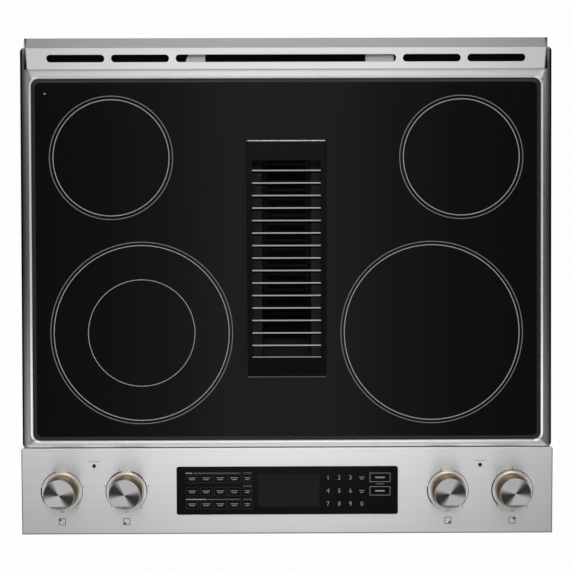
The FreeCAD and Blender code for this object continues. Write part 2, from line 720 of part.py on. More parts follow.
def burner_tray():
    """Pan under the glass, hung from the frame's ledge, with a gap for the vent plenum."""
    outer = box(-TRAY_HALF, TRAY_HALF, TRAY_FRONT, TRAY_REAR, TRAY_FLOOR, LEDGE_BOTTOM)
    hollow = box(SHEET - TRAY_HALF, TRAY_HALF - SHEET, TRAY_FRONT + SHEET, TRAY_REAR - SHEET,
                 TRAY_FLOOR + SHEET, LEDGE_BOTTOM + OVERCUT)
    margin = SHEET + CLEAR
    gap = box(-WELL_HALF - margin, WELL_HALF + margin, WELL_FRONT - margin, WELL_REAR + margin,
              TRAY_FLOOR - OVERCUT, TRAY_FLOOR + SHEET + OVERCUT)
    return cut_all(outer, [hollow, gap])


def burner_x(radius, side_share):
    """Distance of a burner from the middle: its share of the room that it leaves beside the vent."""
    spare = ZONE_OUTER - ZONE_INNER - 2 * radius
    return ZONE_INNER + radius + side_share * spare


def burner_places():
    """Centre and radius of each burner."""
    rear_x = burner_x(REAR_BURNER_RADIUS, REAR_BURNER_SIDE_SHARE)
    rear_y = ZONE_REAR - REAR_BURNER_RADIUS - REAR_BURNER_END_SHARE * ZONE_SPARE
    front_x = burner_x(FRONT_BURNER_RADIUS, FRONT_BURNER_SIDE_SHARE)
    front_y = ZONE_FRONT + FRONT_BURNER_RADIUS + FRONT_BURNER_END_SHARE * ZONE_SPARE
    return [
        (-rear_x, rear_y, REAR_BURNER_RADIUS),
        (rear_x, rear_y, REAR_BURNER_RADIUS),
        (-front_x, front_y, FRONT_BURNER_RADIUS),
        (front_x, front_y, FRONT_BURNER_RADIUS),
    ]


def burner_dishes():
    """Insulating cups pressed up against the underside of the glass."""
    dishes = []
    for x, y, radius in burner_places():
        floor = Vector(x, y, TRAY_FLOOR + SHEET)
        cup = rod(radius, floor, floor + Z_AXIS * DISH_HEIGHT)
        hollow = rod(radius - DISH_WALL, floor + Z_AXIS * DISH_FLOOR,
                     floor + Z_AXIS * (DISH_HEIGHT + OVERCUT))
        dishes.append(cup.cut(hollow))
    return Part.makeCompound(dishes)


def half_ring(centre, radius, turn):
    """Half a turn of heating ribbon, on its edge."""
    edges = []
    for edge_radius in (radius - RIBBON_THICKNESS / 2, radius + RIBBON_THICKNESS / 2):
        start, middle, end = [centre + polar(edge_radius, turn + math.pi * share) for share in (0, 0.5, 1)]
        edges.append(Part.Arc(start, middle, end).toShape())
    inner, outer = edges
    ends = [Part.makeLine(inner.valueAt(inner.FirstParameter), outer.valueAt(outer.FirstParameter)),
            Part.makeLine(inner.valueAt(inner.LastParameter), outer.valueAt(outer.LastParameter))]
    wire = Part.Wire(Part.sortEdges([inner, outer] + ends)[0])
    return Part.Face(wire).extrude(Z_AXIS * RIBBON_HEIGHT)


def burner_ribbons():
    """Spirals of half turns about two centres, standing on the dish floors."""
    spirals = []
    for x, y, radius in burner_places():
        outer_turn = radius - DISH_WALL - RIBBON_PITCH / 2
        halves = int((outer_turn - RIBBON_PITCH) / (RIBBON_PITCH / 2))
        pieces = []
        for index in range(halves):
            odd = index % 2
            centre = Vector(x - odd * RIBBON_PITCH / 2, y, TRAY_FLOOR + SHEET + DISH_FLOOR)
            pieces.append(half_ring(centre, outer_turn - index * RIBBON_PITCH / 2, odd * math.pi))
        spirals.append(fuse_all(pieces))
    return Part.makeCompound(spirals)


# Downdraft grille, plenum and ducts

def louvre(y, top, half_length):
    """Cross blade with a round nose, leaning to the front as it drops."""
    place = on_plane("x", -half_length)
    half = LOUVRE_THICKNESS / 2
    foot = top - LOUVRE_DROP
    front = place(y - half, top - half)
    rear = place(y + half, top - half)
    rear_foot = place(y + half - LOUVRE_RUN, foot)
    front_foot = place(y - half - LOUVRE_RUN, foot)
    outline = Part.Wire([
        Part.Arc(front, place(y, top), rear).toShape(),
        Part.makeLine(rear, rear_foot),
        Part.makeLine(rear_foot, front_foot),
        Part.makeLine(front_foot, front),
    ])
    return Part.Face(outline).extrude(X_AXIS * 2 * half_length)


def vent_grille():
    """Lift-out grille: a flat frame on the glass, a skirt in the well and a row of louvres."""
    top = GLASS_TOP + GRILLE_RISE
    half_width = GRILLE_WIDTH / 2
    half_length = GRILLE_LENGTH / 2
    plate = slab("z", GLASS_TOP, top, -half_width, half_width,
                 GRILLE_Y - half_length, GRILLE_Y + half_length, GRILLE_CORNER)
    plate = plate.makeFillet(GRILLE_ROUND, edges_at_height(plate, top))
    skirt_half = WELL_HALF - GRILLE_SKIRT_GAP
    skirt_front = WELL_FRONT + GRILLE_SKIRT_GAP
    skirt_rear = WELL_REAR - GRILLE_SKIRT_GAP
    skirt = box(-skirt_half, skirt_half, skirt_front, skirt_rear, GLASS_TOP - GRILLE_SKIRT, GLASS_TOP)
    wall = GRILLE_SKIRT_WALL
    inside = box(wall - skirt_half, skirt_half - wall, skirt_front + wall, skirt_rear - wall,
                 GLASS_TOP - GRILLE_SKIRT - OVERCUT, GLASS_TOP)
    opening = box(-GRILLE_OPENING_WIDTH / 2, GRILLE_OPENING_WIDTH / 2, GRILLE_Y - GRILLE_OPENING_LENGTH / 2,
                  GRILLE_Y + GRILLE_OPENING_LENGTH / 2, GLASS_TOP - OVERCUT, top + OVERCUT)
    frame = cut_all(plate.fuse(skirt), [inside, opening])
    first = GRILLE_Y + LOUVRE_OFFSET + (LOUVRE_COUNT - 1) / 2 * LOUVRE_PITCH
    blades = []
    for index in range(LOUVRE_COUNT):
        blades.append(louvre(first - index * LOUVRE_PITCH, top - LOUVRE_SINK, skirt_half - wall / 2))
    return fuse_all([frame] + blades)


def vent_plenum():
    """Folded well under the grille, stepping in to a throat that runs back to the rear duct."""
    throat = THROAT_HALF + SHEET
    outer = fuse_all([
        box(-WELL_HALF - SHEET, WELL_HALF + SHEET, WELL_FRONT - SHEET, WELL_REAR + SHEET,
            WELL_FLOOR - SHEET, GLASS_BOTTOM),
        box(-throat, throat, THROAT_FRONT - SHEET, WELL_REAR + SHEET, THROAT_FLOOR - SHEET, WELL_FLOOR),
        box(-throat, throat, THROAT_FRONT - SHEET, DUCT_FRONT, THROAT_FLOOR - SHEET, OUTLET_TOP + SHEET),
    ])
    inner = [
        box(-WELL_HALF, WELL_HALF, WELL_FRONT, WELL_REAR, WELL_FLOOR, GLASS_BOTTOM + OVERCUT),
        box(-THROAT_HALF, THROAT_HALF, THROAT_FRONT, WELL_REAR, THROAT_FLOOR, WELL_FLOOR + OVERCUT),
        box(-THROAT_HALF, THROAT_HALF, THROAT_FRONT, DUCT_FRONT + OVERCUT, THROAT_FLOOR, OUTLET_TOP),
    ]
    return cut_all(outer, inner)


def grease_filter():
    """Slotted filter that leans across the throat, from its floor to its rear wall."""
    start_y = THROAT_FRONT + FILTER_FRONT_STEP
    length = (WELL_REAR - CLEAR - start_y) / math.cos(math.radians(FILTER_TILT))
    half = THROAT_HALF - CLEAR
    panel = box(-half, half, 0, length, 0, FILTER_THICKNESS)
    count = int((length - 2 * FILTER_BORDER) / FILTER_SLOT_PITCH)
    first = (length - (count - 1) * FILTER_SLOT_PITCH - FILTER_SLOT) / 2
    slots = []
    for index in range(count):
        y = first + index * FILTER_SLOT_PITCH
        slots.append(box(FILTER_BORDER - half, half - FILTER_BORDER, y, y + FILTER_SLOT,
                         -OVERCUT, FILTER_THICKNESS + OVERCUT))
    panel = cut_all(panel, slots)
    panel.Placement = Placement(Vector(0, start_y, THROAT_FLOOR + CLEAR), Rotation(X_AXIS, FILTER_TILT))
    return panel


def rear_duct_outline(inset, bottom):
    """Head the width of the throat, then a flare to the wide flat leg behind the oven."""
    shoulder = THROAT_FLOOR - DUCT_SHOULDER_DROP
    flare = shoulder - DUCT_TAPER
    head = DUCT_HEAD_HALF - inset
    return [
        (-head, DUCT_TOP - inset),
        (head, DUCT_TOP - inset),
        (head, shoulder),
        (DUCT_RIGHT - inset, flare),
        (DUCT_RIGHT - inset, bottom),
        (DUCT_LEFT + inset, bottom),
        (DUCT_LEFT + inset, flare),
        (-head, shoulder),
    ]


def rear_duct():
    outer = prism(rear_duct_outline(0, ELBOW_TOP), "y", DUCT_FRONT, DUCT_REAR)
    inner = prism(rear_duct_outline(SHEET, ELBOW_TOP - OVERCUT), "y", DUCT_FRONT + SHEET, DUCT_REAR - SHEET)
    mouth = box(-THROAT_HALF, THROAT_HALF, DUCT_FRONT - OVERCUT, DUCT_FRONT + SHEET + OVERCUT,
                THROAT_FLOOR, OUTLET_TOP)
    return cut_all(outer, [inner, mouth])


def duct_elbow():
    """Flat box under the oven that turns the air from the rear duct down into the blower's eye."""
    front = BLOWER_Y - EYE_RADIUS - ELBOW_MARGIN
    outer = box(DUCT_LEFT, DUCT_RIGHT, front, DUCT_REAR, ELBOW_FLOOR, ELBOW_TOP)
    eye = Vector(BLOWER_X, BLOWER_Y, BLOWER_TOP)
    ring = rod(EYE_RADIUS + EYE_RING, eye, eye + Z_AXIS * ELBOW_GAP)
    inner = box(DUCT_LEFT + SHEET, DUCT_RIGHT - SHEET, front + SHEET, DUCT_REAR - SHEET,
                ELBOW_FLOOR + SHEET, ELBOW_TOP - SHEET)
    mouth = box(DUCT_LEFT + SHEET, DUCT_RIGHT - SHEET, DUCT_FRONT + SHEET, DUCT_REAR - SHEET,
                ELBOW_TOP - SHEET - OVERCUT, ELBOW_TOP + OVERCUT)
    bore = rod(EYE_RADIUS, eye - Z_AXIS * OVERCUT, eye + Z_AXIS * (ELBOW_GAP + SHEET + OVERCUT))
    return cut_all(outer.fuse(ring), [inner, mouth, bore])


def scroll_outline(grow, end, height):
    """Spiral from the tongue round to the outlet, in arcs of a steadily growing radius."""
    left = OUTLET_LEFT - grow
    start_radius = SCROLL_START_RADIUS + grow
    start_angle = math.acos((left - BLOWER_X) / start_radius)
    centre = Vector(BLOWER_X, BLOWER_Y, height)

    def wall(share):
        radius = start_radius + share * (SCROLL_END_RADIUS - SCROLL_START_RADIUS)
        return centre + polar(radius, start_angle + share * (2 * math.pi - start_angle))

    edges = []
    for index in range(SCROLL_ARC_COUNT):
        points = [wall((index + part) / SCROLL_ARC_COUNT) for part in (0, 0.5, 1)]
        edges.append(Part.Arc(*points).toShape())
    corners = [wall(1), Vector(OUTLET_RIGHT + grow, end, height), Vector(left, end, height), wall(0)]
    for start, stop in zip(corners, corners[1:]):
        edges.append(Part.makeLine(start, stop))
    return Part.Face(Part.Wire(edges))


def blower_housing():
    outer = scroll_outline(SHEET, OUTLET_END, BASE_TOP).extrude(Z_AXIS * BLOWER_HEIGHT)
    hollow = scroll_outline(0, OUTLET_END + OVERCUT, BASE_TOP + SHEET)
    hollow = hollow.extrude(Z_AXIS * (BLOWER_HEIGHT - 2 * SHEET))
    eye = Vector(BLOWER_X, BLOWER_Y, BLOWER_TOP - SHEET - OVERCUT)
    return cut_all(outer, [hollow, rod(EYE_RADIUS, eye, eye + Z_AXIS * (SHEET + 2 * OVERCUT))])


def blower_motor():
    foot = Vector(BLOWER_X, BLOWER_Y, BASE_TOP + SHEET)
    can = rod(MOTOR_RADIUS, foot, foot + Z_AXIS * MOTOR_HEIGHT)
    shaft_length = MOTOR_HEIGHT + WHEEL_MOTOR_GAP + WHEEL_PLATE + WHEEL_HUB_HEIGHT
    shaft = rod(MOTOR_SHAFT, foot, foot + Z_AXIS * shaft_length)
    return can.fuse(shaft)


def blade(inner, outer, sweep, thickness, height):
    """Forward-curved blade between two radii, its hook ahead of its root."""
    gap = thickness / inner
    sides = []
    for lead in (0, gap):
        middle = polar((inner + outer) / 2, lead + sweep * BLADE_MIDDLE_SHARE)
        sides.append(Part.Arc(polar(inner, lead), middle, polar(outer, lead + sweep)).toShape())
    front, back = sides
    ends = [Part.makeLine(front.valueAt(front.FirstParameter), back.valueAt(back.FirstParameter)),
            Part.makeLine(front.valueAt(front.LastParameter), back.valueAt(back.LastParameter))]
    wire = Part.Wire(Part.sortEdges([front, back] + ends)[0])
    return Part.Face(wire).extrude(Z_AXIS * height)


def blower_wheel():
    """Squirrel-cage wheel: a back plate on a hub, forward-curved blades and a rim."""
    centre = Vector(BLOWER_X, BLOWER_Y, BASE_TOP + SHEET + MOTOR_HEIGHT)
    plate_base = WHEEL_MOTOR_GAP * Z_AXIS
    blade_base = plate_base + WHEEL_PLATE * Z_AXIS
    rim_top = blade_base + BLADE_HEIGHT * Z_AXIS
    inner = WHEEL_RADIUS - WHEEL_RIM
    rim = rod(WHEEL_RADIUS, rim_top - Z_AXIS * WHEEL_PLATE, rim_top)
    rim = rim.cut(rod(inner, rim_top - Z_AXIS * (WHEEL_PLATE + OVERCUT), rim_top + Z_AXIS * OVERCUT))
    pieces = [
        rod(WHEEL_RADIUS, plate_base, blade_base),
        rod(WHEEL_HUB_RADIUS, CLEAR * Z_AXIS, blade_base + WHEEL_HUB_HEIGHT * Z_AXIS),
        rim,
    ]
    vane = blade(inner, WHEEL_RADIUS, math.radians(BLADE_SWEEP), BLADE_THICKNESS,
                 BLADE_HEIGHT + WHEEL_PLATE / 2)
    vane.translate(blade_base - Z_AXIS * (WHEEL_PLATE / 2))
    for index in range(BLADE_COUNT):
        turned = vane.copy()
        turned.rotate(Vector(0, 0, 0), Z_AXIS, index * 360 / BLADE_COUNT)
        pieces.append(turned)
    bore = rod(MOTOR_SHAFT + RUNNING_FIT, -OVERCUT * Z_AXIS,
               blade_base + (WHEEL_HUB_HEIGHT + OVERCUT) * Z_AXIS)
    wheel = fuse_all(pieces).cut(bore)
    wheel.translate(centre)
    return wheel


def collar_solid(grow, start, end):
    """Rectangle at the blower turning to a round collar through the back panel."""
    x0 = OUTLET_LEFT - grow
    x1 = OUTLET_RIGHT + grow
    z0 = BASE_TOP + SHEET - grow
    z1 = BLOWER_TOP - SHEET + grow
    corners = [Vector(x1, start, z1), Vector(x0, start, z1), Vector(x0, start, z0), Vector(x1, start, z0)]
    square = Part.makePolygon(corners + corners[:1])
    radius = COLLAR_RADIUS - SHEET + grow
    round_y = BODY_BACK + COLLAR_REACH - COLLAR_STRAIGHT
    centre = Vector(COLLAR_X, round_y, COLLAR_HEIGHT)

    def rim(quarter):
        angle = math.pi / 4 + quarter * math.pi / 2
        return centre + Vector(radius * math.cos(angle), 0, radius * math.sin(angle))

    arcs = [Part.Arc(rim(q), rim(q + 0.5), rim(q + 1)).toShape() for q in range(4)]
    loft = Part.makeLoft([square, Part.Wire(arcs)], True, True)
    return loft.fuse(rod(radius, centre, Vector(COLLAR_X, end, COLLAR_HEIGHT)))


def exhaust_collar():
    end = BODY_BACK + COLLAR_REACH
    outer = collar_solid(SHEET, OUTLET_END, end)
    inner = collar_solid(0, OUTLET_END, end + OVERCUT)
    return outer.cut(inner)


# Rear vent trim

def rear_vent_trim():
    """Folded stainless ridge with vent slots, standing on the rear of the frame."""
    half = TRIM_HALF
    front = REAR - TRIM_FRONT_FROM_REAR
    ridge_y = REAR - TRIM_RIDGE_FROM_REAR
    ridge = RIM_TOP + TRIM_RIDGE_RISE
    foot = RIM_TOP - TRIM_REAR_LEG
    wall = TRIM_WALL
    leg = FRAME_REAR + CLEAR
    outer = [
        (front, RIM_TOP),
        (front, RIM_TOP + TRIM_FRONT_LIP),
        (ridge_y, ridge),
        (REAR, ridge - TRIM_REAR_DROP),
        (REAR, foot),
        (leg, foot),
        (leg, RIM_TOP),
    ]
    inner = [
        (front + wall, RIM_TOP - OVERCUT),
        (front + wall, RIM_TOP + TRIM_FRONT_LIP - wall / 2),
        (ridge_y, ridge - wall),
        (REAR - wall, ridge - TRIM_REAR_DROP - wall / 2),
        (REAR - wall, foot - OVERCUT),
        (leg - OVERCUT, foot - OVERCUT),
        (leg - OVERCUT, RIM_TOP - OVERCUT),
    ]
    inside_half = half - TRIM_TAPER - wall
    shape = prism(outer, "x", -half, half).cut(prism(inner, "x", -inside_half, inside_half))
    end = [
        (half, RIM_TOP),
        (half + OVERCUT, RIM_TOP),
        (half + OVERCUT, ridge + OVERCUT),
        (half - TRIM_TAPER, ridge + OVERCUT),
    ]
    slope = prism(end, "y", front - OVERCUT, REAR + OVERCUT)
    cuts = [slope, mirrored(slope)]
    slot_y = REAR - TRIM_SLOT_FROM_REAR
    side_start = TRIM_MIDDLE_HALF + TRIM_SLOT_GAP
    far_start = side_start + TRIM_SIDE_SLOT + TRIM_SLOT_GAP
    for x0, x1 in ((-TRIM_MIDDLE_HALF, TRIM_MIDDLE_HALF), (side_start, side_start + TRIM_SIDE_SLOT),
                   (far_start, far_start + TRIM_SIDE_SLOT)):
        slot = round_slot("z", RIM_TOP + OVERCUT, ridge + OVERCUT, x0, x1,
                          slot_y - TRIM_SLOT_WIDTH / 2, slot_y + TRIM_SLOT_WIDTH / 2)
        cuts.append(slot)
        if x0 > 0:
            cuts.append(mirrored(slot))
    return cut_all(shape, cuts)


def vent_trim_tabs():
    """Screw tabs on the frame that the trim is fixed to, seen through the middle slot."""
    low = REAR - TRIM_SLOT_FROM_REAR - TAB_DEPTH / 2
    high = low + TAB_DEPTH
    left_start = TAB_LEFT_INSET - TRIM_MIDDLE_HALF
    left_end = left_start + TAB_LEFT_LENGTH
    right_end = TRIM_MIDDLE_HALF - TAB_RIGHT_INSET
    right_start = right_end - TAB_RIGHT_LENGTH
    left = [(left_start, low), (left_end, low), (left_end, high), (left_start + TAB_SLANT, high)]
    right = [(right_start, low), (right_end, low), (right_end, high), (right_start, high)]
    tabs = [prism(outline, "z", RIM_TOP, RIM_TOP + TAB_HEIGHT) for outline in (left, right)]
    return Part.makeCompound(tabs)


# Control console

def panel_height(y):
    """Height of the sloped console face."""
    return CONSOLE_TOP - (CONSOLE_REAR - y) * PANEL_SLOPE


def on_panel(shape, x, y):
    """Stand a shape on the sloped face, its own Z along the face's normal."""
    placed = shape.copy()
    placed.Placement = Placement(Vector(x, y, panel_height(y)), Rotation(X_AXIS, CONSOLE_TILT))
    return placed


def touch_plate(low, high, grow):
    """Slab the size of the touch panel, on the sloped face."""
    half = TOUCH_WIDTH / 2 + grow
    reach = TOUCH_LENGTH / 2 + grow
    plate = slab("z", low, high, -half, half, -reach, reach, TOUCH_CORNER + max(grow, 0))
    return on_panel(plate, 0, CONSOLE_REAR - TOUCH_FROM_REAR)


def lens_pins(radius, low, high):
    """Round pins at the two indicator lights."""
    pin = rod(radius, Z_AXIS * low, Z_AXIS * high)
    y = CONSOLE_REAR - LENS_FROM_REAR
    return [on_panel(pin, x, y) for x in (-LENS_X, LENS_X)]


def console_outline(inset, rear):
    """Side view of the console: sloped top, short front lip and flat bottom."""
    top_inset = inset / math.cos(math.radians(CONSOLE_TILT))
    front = CONSOLE_FRONT + inset
    return [
        (rear, panel_height(rear) - top_inset),
        (front, panel_height(front) - top_inset),
        (front, CONSOLE_BOTTOM + inset),
        (rear, CONSOLE_BOTTOM + inset),
    ]


def control_console():
    """Folded stainless console, open at the back, with holes for knobs, lights and touch panel."""
    outer = prism(console_outline(0, CONSOLE_REAR), "x", -CONSOLE_HALF, CONSOLE_HALF)
    nose = [e for e in outer.Edges if e.BoundBox.YMax < CONSOLE_FRONT + OVERCUT
            and e.BoundBox.XLength > CONSOLE_HALF]
    outer = outer.makeFillet(CONSOLE_ROUND, nose)
    inside = CONSOLE_HALF - CONSOLE_WALL
    cuts = [prism(console_outline(CONSOLE_WALL, CONSOLE_REAR + OVERCUT), "x", -inside, inside)]
    cuts.append(touch_plate(-CONSOLE_WALL - OVERCUT, OVERCUT, CLEAR))
    cuts.extend(lens_pins(LENS_RADIUS + RUNNING_FIT, -CONSOLE_WALL - OVERCUT, OVERCUT))
    hole = rod(PANEL_HOLE, Z_AXIS * (-CONSOLE_WALL - OVERCUT), Z_AXIS * OVERCUT)
    cuts.extend(on_panel(hole, x, DIAL_Y) for x in DIAL_XS.values())
    return cut_all(outer, cuts)


def control_board():
    """Electronics tray on the back of the touch panel."""
    top = TOUCH_RISE - TOUCH_THICKNESS
    return touch_plate(top - BOARD_THICKNESS, top, -BOARD_MARGIN)


def knob_bezels():
    ring = rod(BEZEL_RADIUS, Vector(0, 0, 0), Z_AXIS * BEZEL_HEIGHT)
    ring = ring.makeChamfer(BEZEL_WALL / 4, edges_at_height(ring, BEZEL_HEIGHT))
    ring = ring.cut(rod(BEZEL_RADIUS - BEZEL_WALL, -OVERCUT * Z_AXIS, (BEZEL_HEIGHT + OVERCUT) * Z_AXIS))
    return Part.makeCompound([on_panel(ring, x, DIAL_Y) for x in DIAL_XS.values()])


def shaft_section(grow, low, high):
    """D-shaped shaft, or the bore that takes it."""
    round_bar = rod(SHAFT_RADIUS + grow, Z_AXIS * low, Z_AXIS * high)
    side = SHAFT_RADIUS + OVERCUT
    flat = box(-side, side, SHAFT_FLAT + grow, side, low - OVERCUT, high + OVERCUT)
    return round_bar.cut(flat)


def knob(x):
    """Turned knob with a slanted facet at its pointer and a D shaft."""
    top = KNOB_GAP + KNOB_HEIGHT
    body = Part.makeCone(KNOB_RADIUS, KNOB_TOP_RADIUS, KNOB_HEIGHT, Vector(0, 0, KNOB_GAP))
    body = body.makeChamfer(KNOB_CHAMFER, edges_at_height(body, top))
    facet_start = -KNOB_FACET_SHARE * KNOB_TOP_RADIUS
    side = -KNOB_RADIUS - OVERCUT
    facet = [
        (facet_start, top),
        (side, top - KNOB_FACET_DROP),
        (side, top + OVERCUT),
        (facet_start, top + OVERCUT),
    ]
    body = body.cut(prism(facet, "x", -KNOB_RADIUS, KNOB_RADIUS))
    return on_panel(fuse_all([body, shaft_section(0, -SHAFT_REACH, KNOB_GAP + OVERCUT)]), x, DIAL_Y)


def switch_bottom():
    return -CONSOLE_WALL - SWITCH_HEIGHT


def heat_switches():
    """Switch bodies bolted up under the console face."""
    half = SWITCH_SIZE / 2
    body = box(-half, half, -half, half, switch_bottom(), -CONSOLE_WALL)
    bore = rod(ROTOR_RADIUS + RUNNING_FIT, Z_AXIS * (switch_bottom() + SWITCH_FLOOR), Vector(0, 0, 0))
    body = body.cut(bore)
    return Part.makeCompound([on_panel(body, x, DIAL_Y) for x in DIAL_XS.values()])


def switch_rotor(x):
    """Turning core of a switch, with the D bore for the knob shaft."""
    low = switch_bottom() + SWITCH_FLOOR + CLEAR
    core = rod(ROTOR_RADIUS, Z_AXIS * low, Z_AXIS * (-CONSOLE_WALL - CLEAR))
    bore = shaft_section(RUNNING_FIT, -SHAFT_REACH - KNOB_TRAVEL - OVERCUT, 0)
    return on_panel(core.cut(bore), x, DIAL_Y)


# Oven

def oven_block(grow, front, back):
    """Solid the shape of the oven's inside, grown all round."""
    return slab("y", front, back, -OVEN_HALF - grow, OVEN_HALF + grow,
                OVEN_FLOOR - grow, OVEN_ROOF + grow, OVEN_CORNER + grow)


def rib_height(index):
    """Top of a rack rib."""
    return OVEN_FLOOR + RIB_FIRST + index * RIB_PITCH


def lamp_centre(y):
    return Vector(LAMP_X, y, OVEN_ROOF - LAMP_FROM_ROOF)


def rear_holes(low, high):
    """Holes through the oven's back for the fan shaft and the lamp socket."""
    fan = rod(FAN_SHAFT_HOLE, Vector(0, low, FAN_Z), Vector(0, high, FAN_Z))
    lamp = rod(LAMP_SOCKET + CLEAR, lamp_centre(low), lamp_centre(high))
    return [fan, lamp]


def oven_cavity():
    """Enamelled box with rack ribs pressed into its sides."""
    shell = oven_block(SHEET, INSIDE_FRONT, OVEN_BACK + SHEET)
    shell = shell.cut(oven_block(0, INSIDE_FRONT - OVERCUT, OVEN_BACK))
    ribs = []
    for index in range(RIB_COUNT):
        top = rib_height(index)
        profile = [
            (OVEN_HALF + SHEET / 2, top),
            (OVEN_HALF - RIB_WIDTH, top),
            (OVEN_HALF - RIB_WIDTH, top - RIB_HEIGHT / 2),
            (OVEN_HALF + SHEET / 2, top - RIB_HEIGHT - RIB_WIDTH),
        ]
        rib = prism(profile, "y", INSIDE_FRONT + RIB_END_GAP, OVEN_BACK - RIB_END_GAP)
        ribs.extend([rib, mirrored(rib)])
    return cut_all(fuse_all([shell] + ribs), rear_holes(OVEN_BACK - OVERCUT, OVEN_BACK + SHEET + OVERCUT))


def oven_insulation():
    grow = SHEET + INSULATION
    blanket = box(-OVEN_HALF - grow, OVEN_HALF + grow, INSIDE_FRONT, INSULATION_BACK,
                  OVEN_FLOOR - grow, OVEN_ROOF + grow)
    room = oven_block(SHEET + CLEAR, INSIDE_FRONT - OVERCUT, OVEN_BACK + SHEET + CLEAR)
    return cut_all(blanket, [room] + rear_holes(OVEN_BACK, INSULATION_BACK + OVERCUT))


def oven_rack(rib):
    """Wire rack: a bent frame on the ribs, a middle bar and rods welded across the top."""
    z = rib_height(rib) + RUNNING_FIT + RACK_FRAME_RADIUS
    half = OVEN_HALF - RACK_GAP - RACK_FRAME_RADIUS
    front = INSIDE_FRONT + RACK_FRONT_GAP + RACK_FRAME_RADIUS
    rear = OVEN_BACK - FAN_COVER_DEPTH - RACK_REAR_GAP
    corners = [
        Vector(-half, front, z),
        Vector(half, front, z),
        Vector(half, rear, z),
        Vector(-half, rear, z),
    ]
    pieces = [bent_tube(corners, RACK_CORNER, RACK_FRAME_RADIUS, closed=True)]
    middle = (front + rear) / 2
    pieces.append(rod(RACK_ROD_RADIUS, Vector(-half, middle, z), Vector(half, middle, z)))
    rod_z = z + RACK_FRAME_RADIUS - RACK_SINK
    pitch = 2 * half / (RACK_ROD_COUNT + 1)
    for index in range(RACK_ROD_COUNT):
        x = -half + (index + 1) * pitch
        pieces.append(rod(RACK_ROD_RADIUS, Vector(x, front, rod_z), Vector(x, rear, rod_z)))
    return fuse_all(pieces)


def looped_element(z, loops, rear_turn):
    """Heating tube that goes back and forth, with both ends in the oven's back wall."""
    runs = 2 * loops
    width = 2 * (OVEN_HALF - ELEMENT_MARGIN)
    pitch = width / (runs - 1)
    front_turn = INSIDE_FRONT + ELEMENT_MARGIN
    points = []
    for index in range(runs):
        x = -width / 2 + index * pitch
        back = OVEN_BACK if index in (0, runs - 1) else rear_turn
        ends = [Vector(x, back, z), Vector(x, front_turn, z)]
        points.extend(ends if index % 2 == 0 else reversed(ends))
    return bent_tube(points, ELEMENT_BEND, ELEMENT_RADIUS)


def broil_element():
    return looped_element(OVEN_ROOF - BROIL_DROP, BROIL_LOOPS, OVEN_BACK - ELEMENT_MARGIN)


def bake_element():
    return looped_element(OVEN_FLOOR + BAKE_LIFT, BAKE_LOOPS, OVEN_BACK - ELEMENT_MARGIN)


def fan_front():
    """Front of the fan's blades."""
    return OVEN_BACK - FAN_WALL_GAP - FAN_DEPTH


def convection_element():
    """Ring round the fan with two leads to the back wall."""
    y = OVEN_BACK - FAN_WALL_GAP - FAN_DEPTH / 2
    ring = Part.makeTorus(RING_ELEMENT_RADIUS, ELEMENT_RADIUS, Vector(0, y, FAN_Z), Y_AXIS)
    lead_x = RING_LEAD_SPACING / 2
    lead_z = FAN_Z - math.sqrt(RING_ELEMENT_RADIUS ** 2 - lead_x ** 2)
    lead = rod(LEAD_RADIUS, Vector(lead_x, y, lead_z), Vector(lead_x, OVEN_BACK, lead_z))
    return fuse_all([ring, lead, mirrored(lead)])


def convection_fan():
    """Stamped fan: a disc with paddles, a hub and the shaft that runs back to the motor."""
    plate_front = OVEN_BACK - FAN_WALL_GAP - FAN_PLATE
    centre = Vector(0, 0, FAN_Z)
    pieces = [
        rod(FAN_RADIUS, centre + Y_AXIS * plate_front, centre + Y_AXIS * (plate_front + FAN_PLATE)),
        rod(FAN_HUB_RADIUS, centre + Y_AXIS * fan_front(), centre + Y_AXIS * plate_front),
        rod(FAN_SHAFT, centre + Y_AXIS * fan_front(),
            centre + Y_AXIS * (INSULATION_BACK + FAN_MOTOR_LENGTH / 2)),
    ]
    paddle = box(FAN_PADDLE_START, FAN_RADIUS, fan_front(), plate_front + FAN_PLATE / 2,
                 FAN_Z - FAN_BLADE_THICKNESS / 2, FAN_Z + FAN_BLADE_THICKNESS / 2)
    for index in range(FAN_BLADES):
        turned = paddle.copy()
        turned.rotate(centre, Y_AXIS, index * 360 / FAN_BLADES)
        pieces.append(turned)
    return fuse_all(pieces)


def convection_motor():
    centre = Vector(0, INSULATION_BACK, FAN_Z)
    end = centre + Y_AXIS * FAN_MOTOR_LENGTH
    flange = rod(FAN_MOTOR_FLANGE, centre, centre + Y_AXIS * FAN_MOTOR_FLANGE_THICKNESS)
    can = rod(FAN_MOTOR_RADIUS, centre, end)
    bore = rod(FAN_SHAFT + RUNNING_FIT, centre - Y_AXIS * OVERCUT,
               centre + Y_AXIS * (FAN_MOTOR_LENGTH / 2 + OVERCUT))
    return flange.fuse(can).cut(bore)


